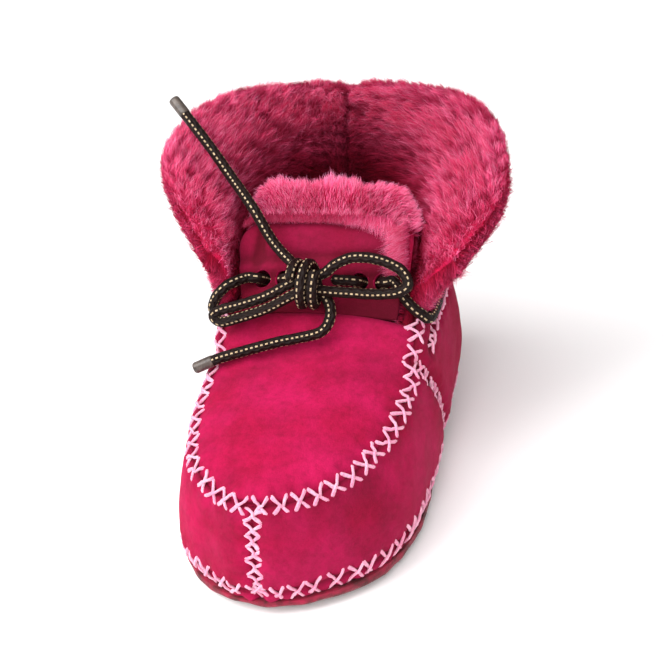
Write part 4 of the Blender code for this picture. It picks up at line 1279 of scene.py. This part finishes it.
def blades(name, roots, tips, out, seed, locks, gather=0.5, curl=0.0005, shade=1.0, middles=None,
           pale=1.2):
    """A piece of wool fibres from roots to tips, broad side out. Locks are where tips gather."""
    pick = np.random.default_rng(seed)
    count = len(roots)
    run = tips - roots
    length = np.linalg.norm(run, axis=1, keepdims=True)
    straight = roots + run * 0.55
    tips = tips + (locks - tips) * gather * pick.uniform(0.4, 1.0, (count, 1))
    tips = tips + unit(pick.normal(size=(count, 3))) * length * pick.uniform(0.04, 0.20, (count, 1))
    bend = unit(np.cross(run, pick.normal(size=(count, 3)))) * pick.normal(0, curl, (count, 1))
    middle = (straight * 1.2 + (roots * 0.45 + tips * 0.55) * 0.8) / 2 + bend
    if middles is not None:
        middle = middles + bend
    across = unit(np.cross(run, out)) + pick.normal(0, 0.55, (count, 3))
    flat = unit(np.cross(np.cross(run, across), run)) * FIBRE_WIDTH / 2
    flat = flat * pick.uniform(0.7, 1.25, (count, 1))
    verts = np.stack([roots - flat, roots + flat, middle - flat * 0.8, middle + flat * 0.8, tips], 1)
    base = (np.arange(count) * 5)[:, None]
    tris = np.stack([base + [0, 1, 3], base + [0, 3, 2], base + [2, 3, 4]], 1).reshape(-1, 3)
    piece = new_piece(name, verts.reshape(-1, 3), tris)
    shade = np.broadcast_to(np.asarray(shade, float), (count,))
    store(piece, "tip", np.tile([0.0, 0.0, MIDDLE_SHARE, MIDDLE_SHARE, 1.0], count))
    store(piece, "open", (LIGHT_UP_A_BLADE[None, :] * shade[:, None]).ravel().clip(0, 1))
    store(piece, "tone", np.repeat(pick.uniform(0, 1, count) ** pale, 5))
    piece.data.materials.append(fibres_finish)
    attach(piece, "root")
    return piece


def gathered(places, tips, size, seed):
    """For each fibre, where its lock's tips come together, and how far off that it is."""
    cell = np.floor(places / size + waves(places, size * 2, seed)[:, None] * 0.5).astype(int)
    # A lock is a small cell of space, told from its neighbours by one large number
    key = cell @ np.array([73856093, 19349663, 83492791])
    _, group = np.unique(key, return_inverse=True)
    total = np.zeros((group.max() + 1, 3))
    np.add.at(total, group, tips)
    centre = (total / np.bincount(group)[:, None])[group]
    return centre, np.linalg.norm(tips - centre, axis=1) / size


print("wool maker ready")

# %% [markdown]
# The cuff's wool is deepest over the back and sides, thins out at the front corners and
# has a seam down the back. A section runs up the inner face to the rim, round the rim and
# a little under it. The fibres grow from inside this form out to its full depth.

# %% The cuff's wool
RIM_BEYOND = np.array([0.0, 0.30, 0.55, 0.78, 0.90, 0.98, 1.00, 0.95, 0.80])
RIM_HEIGHT = np.array([1.0, 0.96, 0.88, 0.76, 0.62, 0.47, 0.32, 0.18, 0.06])


def wool_point(way, q, depth):
    """The cuff's wool at q of its section and a share of its depth. Past 0.8 it rounds the rim."""
    way, q, depth = arrays(way, q, depth)
    share = 1 - np.abs(way)
    t = np.minimum(q / 0.8, 1.0)
    round_rim = np.clip((q - 0.8) / 0.2, 0, 1) * (len(RIM_BEYOND) - 1)
    beyond = np.interp(round_rim, np.arange(len(RIM_BEYOND)), RIM_BEYOND)
    height = np.interp(round_rim, np.arange(len(RIM_HEIGHT)), RIM_HEIGHT)
    deep = along(CUFF, WOOL, share) * CUFF_FLEECE
    thin = along(CUFF, ROOT_WOOL, share) * CUFF_FLEECE
    late = np.maximum(0.0, 1 - share / FRONT_SHARE)
    swollen = np.minimum(1.0, t / (0.5 + 0.5 * late))
    rise = thin + (deep - thin) * np.sin(math.pi / 2 * swollen) ** (1 + late)
    seam_and_painted_shade = 1 - BACK_SEAM_DEPTH * bell(way, BACK_SEAM_WAY)
    _, length = cuff_point(way, 0.5, 0.0)
    overhang = CUFF_OVERHANG * along(CUFF, WOOL, share) / length
    floor = GAP * (1 + 2 * late)
    lift = floor + np.maximum(rise * seam_and_painted_shade * height - floor, 0.0) * depth
    return cuff_point(way, t + 0.02 * (q < 0.8) + overhang * beyond * depth, lift)[0]


def openness(way, q):
    """How much light reaches the wool: little at the ankle, most of all at the back."""
    start = 0.08 + 0.37 * (1 - np.abs(way))
    return 0.14 + 0.88 * np.clip((q - start) / 0.30, 0, 1)


def build_wool_body():
    ways = np.linspace(-1, 1, 181)[None, :]
    q = np.concatenate([np.linspace(0, 0.8, 30), np.linspace(0.82, 1.0, 8)])
    top = wool_point(ways, q[:, None], 0.52)
    under = cuff_point(ways, np.linspace(1, 0, 12)[:, None], GAP)[0]
    # Painted shade, from how little light reaches each row of the wool, and deep on its underside.
    low = 1 - 0.85 * openness(ways, q[:, None])
    low = np.concatenate([low, np.full((12, 181), 0.3), low[:1]])
    grid = shaped_grid("cuff_wool_body", np.concatenate([top, under, top[:1]]), low)
    body = edit(grid, MERGE, CLOSE, FACE_OUT)
    points, out = positions(body), normals(body)
    place_points(body, points + out * (0.0003 * waves(points, 0.0022, 41))[:, None])
    body.data.materials.append(body_finish)
    body.data.shade_smooth()
    return body


wool_body = build_wool_body()
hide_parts("cuff_fleece")
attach(wool_body, "root")
print("cuff's wool body", len(wool_body.data.polygons), "faces")

# %% [markdown]
# The fibres are combed a little towards the rim, and not evenly. Those in the middle of a lock are the
# tallest and get the least painted shade, so the locks show as small tufts. It is made as three pieces,
# because one piece with all of the fibres would be too large.

# %% The cuff's fibres
FIBRES, LOCK = 44000, 0.0024


def comb(way, q):
    """How far the tips lie towards the rim, in shares of the section."""
    return 0.022 + 0.014 * np.cos(way * 5) + 0.014 * np.sin(q * 9 + way * 6)


def wool_shade(way, q, roots, off):
    """How light each fibre is: less off its lock, in patches, at the back seam and under the rim."""
    patches = np.clip(waves(roots, 0.0042, 45) * 0.9 - 0.1, 0, 1)
    shade = openness(way, q) * (1.14 - 0.56 * np.minimum(off, 0.9)) * (1 - 0.42 * patches)
    under_rim = np.clip((q - 0.93) / 0.05, 0, 1) * np.clip(np.abs(way) * 2.5 - 0.5, 0, 1)
    return shade * (1 - 0.12 * bell(way, BACK_SEAM_WAY * 0.6)) * (1 - 0.7 * under_rim)


def cuff_fibres(name, low, high, seed):
    """The fibres between two places round the cuff, more where its section is longer."""
    pick = np.random.default_rng(seed)
    way = pick.uniform(low, high, FIBRES * 3)
    q = pick.uniform(0.0, 1.0, FIBRES * 3) ** 0.8
    length = cuff_point(way, 0.5, 0.0)[1]
    keep = pick.uniform(0, length.max(), FIBRES * 3) < length
    way, q = way[keep][:FIBRES], q[keep][:FIBRES]
    roots, full = wool_point(way, q, 0.38), wool_point(way, q, 1.0)
    way_tip = np.clip(way + pick.normal(0, 0.006, len(way)), -0.999, 0.999)
    q_tip = np.clip(q + comb(way, q) * (q < 0.75), 0, 1.0)
    _, off = gathered(roots, full, LOCK, seed)
    tall = pick.uniform(0.90, 1.12, len(way)) + 0.16 - 0.42 * np.minimum(off, 0.8) ** 1.3
    tips = wool_point(way_tip, q_tip, tall)
    centre, _ = gathered(roots, tips, LOCK, seed)
    shade = wool_shade(way, q, roots, off)
    return blades(name, roots, tips, full - roots, seed, centre, 0.55, curl=0.0008, shade=shade)


cuff_wool = [
    cuff_fibres("cuff_wool_right", -1.0, -0.36, 51),
    cuff_fibres("cuff_wool_back", -0.36, 0.36, 52),
    cuff_fibres("cuff_wool_left", 0.36, 1.0, 53),
]
print("cuff's fibres", sum(len(p.data.polygons) for p in cuff_wool), "faces")

# %% [markdown]
# At the front corners the real fleece is so long that it hangs over the leather and hides its cut edge.
# These fibres go up and over from their roots: some over the rim, and nearly half of them over the two
# front edges. The ones that hang farthest get the deepest painted shade.

# %% The fringe of the front corners


def over_the_rim(side, pick):
    """Fibres over the rim, most of them near a corner: start, middle, end and shade."""
    count = len(side)
    spread = np.where(side < 0, 0.42, 0.60)
    share = spread * (1 - np.sqrt(pick.uniform(0, 1, count)))
    way = (1 - share) * side
    length = cuff_point(way, 0.5, 0.0)[1]
    at = pick.uniform(-0.5, 1.0, count)
    start = cuff_point(way, 1.0 + 0.02 * at, -CUFF_THICKNESS * 0.5 + 0.0020 * at)[0]
    hang = pick.uniform(0.1, 1.0, count) * (0.0006 + 0.0044 * (1 - share / spread) ** 1.5)
    lift = -CUFF_THICKNESS * pick.uniform(0.2, 1.1, count)
    over = cuff_point(way, 1.0 + 0.0016 / length, lift)[0]
    lift = -CUFF_THICKNESS - pick.uniform(0.0006, 0.0022, count)
    end = cuff_point(way, 1.0 - hang / length, lift)[0]
    longest = np.clip((hang / hang.max() - 0.40) / 0.5, 0, 1)
    return start, over, end, 0.95 - 0.45 * longest


def over_the_edge(side, pick):
    """Fibres over a front edge, from the rim down to the root: start, middle, end and shade."""
    count = len(side)
    t = pick.uniform(0.10, 1.04, count)
    brink = cuff_point(side, t, 0.0)[0]
    ahead = unit(brink - cuff_point(side * 0.96, t, 0.0)[0])
    outer = unit(cuff_point(side, t, -CUFF_THICKNESS)[0] - brink)
    down = pick.uniform(-1.0, 0.5, count)[:, None]
    start = brink + outer * CUFF_THICKNESS * down - ahead * 0.0012 * np.clip(-down, 0, 1)
    past = pick.uniform(0.0008, 0.0018, count)[:, None]
    over = brink + ahead * past + outer * CUFF_THICKNESS * 0.7
    drop = pick.uniform(0.0, 1.0, count)[:, None]
    clump = waves(brink, 0.0034, 47)[:, None]
    end = over + outer * (CUFF_THICKNESS * (0.9 + 0.5 * clump)) - ahead * 0.0045 * drop
    end = end + (0.0, 0.0, -0.0022) * drop + pick.normal(0, 0.0009, (count, 3))
    over = over + outer * (0.0009 * pick.uniform(0, 1, count) + 0.0004 * clump[:, 0])[:, None]
    over = over + pick.normal(0, 0.0004, (count, 3))
    return start, over, end, 0.84 - 0.30 * np.clip(-clump[:, 0], 0, 1)


def fringe(name, count, seed):
    pick = np.random.default_rng(seed)
    side = np.where(pick.uniform(size=count) < 0.5, -1, 1)
    rim = over_the_rim(side, pick)
    at_edge = pick.uniform(size=count) < 0.45
    edge = over_the_edge(side, pick)
    start, over, end = (np.where(at_edge[:, None], a, b) for a, b in zip(edge[:3], rim[:3]))
    shade = np.where(at_edge, edge[3], rim[3])
    centre, _ = gathered(start, end, LOCK, seed)
    out = over - (start + end) / 2
    return blades(name, start, end, out, seed, centre, 0.45, curl=0.0007, middles=over, shade=shade)


cuff_fringe = fringe("cuff_wool_fringe", 20000, 54)
print("fringe", len(cuff_fringe.data.polygons), "faces")

# %% [markdown]
# The tongue is lined with the same fleece, and a deep tuft stands above its edge. Its form
# is a pad with a front and a back that meet at the sides and over the top.

# %% The tongue's wool
TONGUE_FLEECE, TONGUE_FLEECE_LEAST, TONGUE_TUFT = 0.0065, 0.0004, 0.0110
TONGUE_FLEECE_START, WOOL_AHEAD = 0.52 * TONGUE_LENGTH, 0.0010
WOOL_WIDTH, WOOL_CORNER = 0.0432, 0.01125


def tongue_wool(height, across, depth, face):
    """The tongue's wool: face 0 is its front and 1 its back, at a share of its depth."""
    height, across, depth, face = arrays(height, across, depth, face)
    length = TONGUE_LENGTH + TONGUE_TUFT
    half = tongue_half(np.minimum(height, length), WOOL_WIDTH, length, WOOL_CORNER)
    above = np.clip((height - TONGUE_LENGTH) / TONGUE_TUFT, 0, 1)
    ahead = np.minimum(1.0, 2 * np.maximum(0.0, above - 0.2))
    lift = WOOL_AHEAD * ahead - (TONGUE_THICKNESS + 2 * GAP) * (1 - ahead)
    taper = 0.25 + 0.75 * np.sqrt(np.maximum(0.0, 1 - above**2.5))
    fullness = 0.35 + 0.65 * (1 - np.abs(across) ** 4)
    thick = TONGUE_FLEECE_LEAST + TONGUE_FLEECE * taper * fullness
    middle = lift - thick / 2
    return tongue_point(half * across + WOOL_SLIP, height, middle + (0.5 - face) * thick * depth)


def build_tongue_wool():
    up = np.linspace(TONGUE_FLEECE_START, TONGUE_LENGTH + TONGUE_TUFT * 0.72, 30)
    down = np.linspace(TONGUE_LENGTH + TONGUE_TUFT * 0.72, TONGUE_FLEECE_START, 30)
    rows = np.concatenate([up, down])[:, None]
    face = np.concatenate([np.zeros(30), np.ones(30)])[:, None]
    across = np.linspace(-0.97, 0.97, 61)[None, :]
    grid = tongue_wool(rows, across, 0.72, face)
    grid = shaped_grid("tongue_wool_body", np.concatenate([grid, grid[:1]]))
    body = edit(grid, MERGE, CLOSE, FACE_OUT)
    points, out = positions(body), normals(body)
    place_points(body, points + out * (0.00025 * waves(points, 0.0022, 61))[:, None])
    body.data.materials.append(body_finish)
    body.data.shade_smooth()
    return body


tongue_body = build_tongue_wool()
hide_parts("tongue_fleece")
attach(tongue_body, "root")
print("tongue's wool body", len(tongue_body.data.polygons), "faces")

# %% [markdown]
# The tuft's fibres rise and lean forward over the leather, longest in the middle, and are given the
# palest tone on the shoe, which is painted light. More wool falls over the leather's edge, a little of
# it along the top and a fuller strip down the right side, where the tongue is bent open.

# %% The tuft and the tongue's edge


def tongue_fibres(name, count, seed):
    pick = np.random.default_rng(seed)
    across = pick.uniform(-1, 1, count)
    tallest = TONGUE_LENGTH + TONGUE_TUFT * 0.8 - TONGUE_FLEECE_START
    height = TONGUE_FLEECE_START + tallest * pick.uniform(0, 1, count) ** 0.6
    above = height > TONGUE_LENGTH - 0.0015
    at_front = pick.uniform(0, 1, count) < 0.55
    front, anywhere = pick.uniform(-0.15, 0.15, count), pick.uniform(0, 1, count)
    face = np.where(above, np.where(at_front, front, anywhere), 1.0)
    roots = tongue_wool(height, across * 0.96, 0.7, face)
    lump = 0.0009 * np.sin(across * 7 + 1) + 0.0004 * np.sin(across * 17 + 2)
    rise = pick.uniform(0.0016, 0.0046, count) + lump - 0.0030 * np.abs(across) ** 4
    rise = np.where(above, rise, 0.0012)
    lean = np.where(above, np.where(face < 0.5, 0.0016, -0.0006), -0.0018)
    tips = tongue_wool(height, across * 1.01, 1.0, face)
    low, high = (tongue_point(across * 0.01, height + more, 0.0) for more in (0.0, 0.001))
    up = unit(high - low)
    ahead = np.stack([np.zeros(count), -up[:, 2], up[:, 1]], -1)
    tips = tips + up * rise[:, None] + ahead * (lean * pick.uniform(0.4, 1.2, count))[:, None]
    tips[:, 0] += (0.0022 * across**3 + 0.0006) * above
    centre, off = gathered(roots, tips, 0.0030, seed)
    tips = tips + up * (0.0012 * (0.5 - np.minimum(off, 1.0)))[:, None] * above[:, None]
    # Painted shade on the fibres behind the tongue, and the tuft's paler tone is painted light.
    shade = np.where(above, 1.0, 0.45)
    return blades(name, roots, tips, ahead + up * 0.5, seed, centre, 0.4, shade=shade, pale=0.55)


def edge_fibres(name, count, seed):
    """Wool that falls over the top and the right side of the tongue's leather."""
    pick = np.random.default_rng(seed)
    turn = pick.uniform(0, 1, count)
    on_top = turn < 0.5
    top, side = TONGUE_LENGTH + 0.0003, TONGUE_LENGTH * (1 - (turn - 0.5))
    height = np.where(on_top, top, side)
    low = np.minimum(height, TONGUE_LENGTH * 0.75)
    half = tongue_half(low, TONGUE_WIDTH, TONGUE_LENGTH, TONGUE_CORNER)
    sideways = np.where(on_top, half * (turn / 0.5 * 2 - 1) * 0.92, half + 0.0004) - TONGUE_SLIP
    round_corner = np.clip((np.abs(sideways + TONGUE_SLIP) / half - 0.75) / 0.25, 0, 1) ** 2
    height = height - 0.0035 * round_corner * on_top
    back = -TONGUE_THICKNESS * pick.uniform(0.4, 1.3, count)
    full = np.clip((sideways - 0.002) / 0.016, 0, 1)
    longest = np.where(on_top, 0.0006 + 0.0050 * full**1.5, 0.0062)
    fall = pick.uniform(0.05, 1.0, count) ** 2 * longest
    roots = tongue_point(sideways, height, back)
    over_side = sideways + np.where(on_top, 0, 0.0006)
    over = tongue_point(over_side, height + np.where(on_top, 0.0014, 0.0006), 0.0002)
    end_side = sideways + pick.normal(0, 0.0006, count) - np.where(on_top, 0.0, fall * 0.9)
    end_height = height - np.where(on_top, fall, fall * 0.5)
    tips = tongue_point(end_side, end_height, pick.uniform(0.0006, 0.0022, count))
    ahead = tongue_point(0.0, height, 0.001) - tongue_point(0.0, height, 0.0)
    centre, _ = gathered(roots, tips, 0.0022, seed)
    # Painted shade on the wool over the top edge, deeper towards the left where it is thin.
    shade = np.where(on_top, 0.62 + 0.38 * full, 0.95)
    return blades(name, roots, tips, ahead, seed, centre, 0.2, curl=0.0006, middles=over, shade=shade)


tuft = tongue_fibres("tongue_wool_fibres", 34000, 71)
tuft_edge = edge_fibres("tongue_wool_edge", 8000, 72)
print("tuft", len(tuft.data.polygons), "faces, edge", len(tuft_edge.data.polygons), "faces")

# %% [markdown]
# Inside, the hide's own wool lines the walls and the footbed. It is short and pressed by the foot. It
# is painted in shade all over, but it is what shows from above.

# %% The lining and the footbed
LINING, PRESSED_LOCK = 0.0030, 0.0030


def lining_point(angle, rise, depth):
    wall = wall_point(angle, rise)
    angle, _ = arrays(angle, rise)
    out = unit(outward(sole_edge, angle) + outward(top_edge, angle))
    return wall - out * (SKIN + 0.0002 + LINING * depth)[..., None]


def under_vamp(angle, share, depth):
    point = vamp_point(angle, 0.04 + 0.92 * share)
    point[..., 2] -= SKIN + 0.0006 + LINING * depth
    return point


def build_lining():
    angles = np.linspace(0, 2 * math.pi, 181)[None, :]
    rises = np.linspace(0.12, 0.985, 34)
    inner = lining_point(angles, rises[::-1, None], np.float64(0.6))
    outer = lining_point(angles, rises[:, None], np.float64(0.0))
    walls = edit(shaped_grid("lining", np.concatenate([inner, outer, inner[:1]])), MERGE, FACE_OUT)
    stations = np.linspace(0.25, THROAT_ANGLE, 40)[:, None]
    shares = np.linspace(0, 1, 37)[None, :]
    low, high = under_vamp(stations, shares, 0.6), under_vamp(stations, shares, 0.0)
    roof = edit(shaped_grid("roof", np.concatenate([low, high[::-1], low[:1]])), MERGE, CLOSE, FACE_OUT)
    lining = joined(walls, roof)
    points, out = positions(lining), normals(lining)
    place_points(lining, points + out * (0.0002 * waves(points, 0.002, 81))[:, None])
    lining.data.shade_smooth()
    # The lining is painted in shade all over.
    store(lining, "seam_and_painted_shade", np.full(len(points), 0.8))
    lining.data.materials.append(body_finish)
    return lining


def lining_fibres(count, seed):
    pick = np.random.default_rng(seed)
    angle = pick.uniform(THROAT_ANGLE * 0.7, 2 * math.pi - THROAT_ANGLE * 0.7, count)
    rise = pick.uniform(0.15, 1.0, count) ** 0.7
    roots = lining_point(angle, rise, np.full(count, 0.5))
    tip_angle, tip_rise = angle + pick.normal(0, 0.01, count), np.minimum(rise + 0.02, 1.0)
    tips = lining_point(tip_angle, tip_rise, np.full(count, 1.35))
    centre, _ = gathered(roots, tips, PRESSED_LOCK, seed)
    # Painted shade, deepest low down inside the shoe.
    shade = np.clip(rise * 0.75, 0.3, 0.7)
    return blades("lining_fibres", roots, tips, tips - roots, seed, centre, shade=shade)


def build_footbed():
    angles = np.linspace(0, 2 * math.pi, 201)
    foot, inset = SOLE_THICKNESS + GAP, SKIN + 0.0012 + SOLE_WELT
    # Columns: inset, height
    steps = [
        (SOLE_ROUNDING + SOLE_THICKNESS, foot),
        (inset + 0.0015, foot + INSOLE_THICKNESS * 0.4),
        (inset, foot + INSOLE_THICKNESS * 0.65),
        (inset + 0.0015, foot + INSOLE_THICKNESS * 0.9),
        (inset + 0.0060, foot + INSOLE_THICKNESS * 0.95),
    ]
    rows = flat_disc(steps[0][0], foot, angles, (1.0, 0.5))
    rows += [foot_loop(step_inset, height, angles) for step_inset, height in steps]
    rows += flat_disc(steps[-1][0], steps[-1][1], angles, np.linspace(0.08, 1.0, 14))
    bed = edit(shaped_grid("footbed_wool", np.array(rows)), MERGE, FACE_OUT)
    points, out = positions(bed), normals(bed)
    top = points[:, 2] > foot + INSOLE_THICKNESS * 0.85
    lumps = (0.00035 * waves(points, 0.003, 91) - 0.0003) * top
    place_points(bed, points + out * lumps[:, None])
    bed.data.shade_smooth()
    # The footbed is painted in shade all over.
    store(bed, "seam_and_painted_shade", np.full(len(points), 0.8))
    bed.data.materials.append(body_finish)
    return bed


def footbed_fibres(count, seed):
    pick = np.random.default_rng(seed)
    angle = pick.uniform(0, 2 * math.pi, count)
    inset = np.full(count, SKIN + 0.0060 + SOLE_WELT)
    inner = foot_loop(inset, SOLE_THICKNESS + INSOLE_THICKNESS, angle)
    inner[:, 0] *= np.sqrt(pick.uniform(0, 1, count))
    roots = inner[inner[:, 1] > -0.030]
    roots[:, 2] = SOLE_THICKNESS + GAP + INSOLE_THICKNESS * 0.9
    tips = roots + pick.normal(0, 0.0006, (len(roots), 3))
    tips[:, 2] = roots[:, 2] + pick.uniform(0.0012, 0.0024, len(roots))
    centre, _ = gathered(roots, tips, PRESSED_LOCK, seed)
    # These fibres are painted in shade too.
    return blades("footbed_fibres", roots, tips, tips - roots, seed, centre, shade=0.6)


lining = build_lining()
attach(lining, "root")
footbed = build_footbed()
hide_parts("insole")
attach(footbed, "root")
inside = [lining_fibres(20000, 82), footbed_fibres(12000, 92)]
print("inside", sum(len(p.data.polygons) for p in inside), "faces of fibres")

# %% [markdown]
# The shoe stands on a plain pale floor in soft studio light. A large light high at the
# left shapes it, and weaker ones in front and above fill its shade. The pale world does
# the rest. Nothing is drawn on the floor but the shoe's own shadow.

# %% Floor and light
LIT_PLACE, WORLD_STRENGTH = Vector((0.0, 0.0, 0.03)), 0.44

bpy.ops.mesh.primitive_plane_add(size=6.0, location=(0, 0, 0))
floor = bpy.context.object
floor.name = "floor"
paper = Finish("pale floor", 0.9)
paper_colour = paper.blend(paper.noise(3, 2.0), rgb(250, 249, 249), rgb(255, 254, 254))
floor.data.materials.append(paper.done(paper_colour))


def soft_light(name, place, size, power):
    bpy.ops.object.light_add(type="AREA", location=place)
    light = bpy.context.object
    light.name = name
    light.data.size, light.data.energy = size, power
    towards = LIT_PLACE - Vector(place)
    light.rotation_euler = towards.to_track_quat("-Z", "Y").to_euler()


soft_light("key", (-0.66, -0.42, 0.72), 0.80, 11.0)
soft_light("front", (0.22, -0.85, 0.62), 0.60, 5.5)
soft_light("top", (-0.02, -0.30, 0.92), 0.60, 4.5)
world = bpy.data.worlds.new("studio")
world.use_nodes = True
background = world.node_tree.nodes["Background"]
background.inputs["Color"].default_value = (1.0, 1.0, 1.0, 1.0)
background.inputs["Strength"].default_value = WORLD_STRENGTH
bpy.context.scene.world = world
bpy.context.scene.view_settings.view_transform = "Standard"
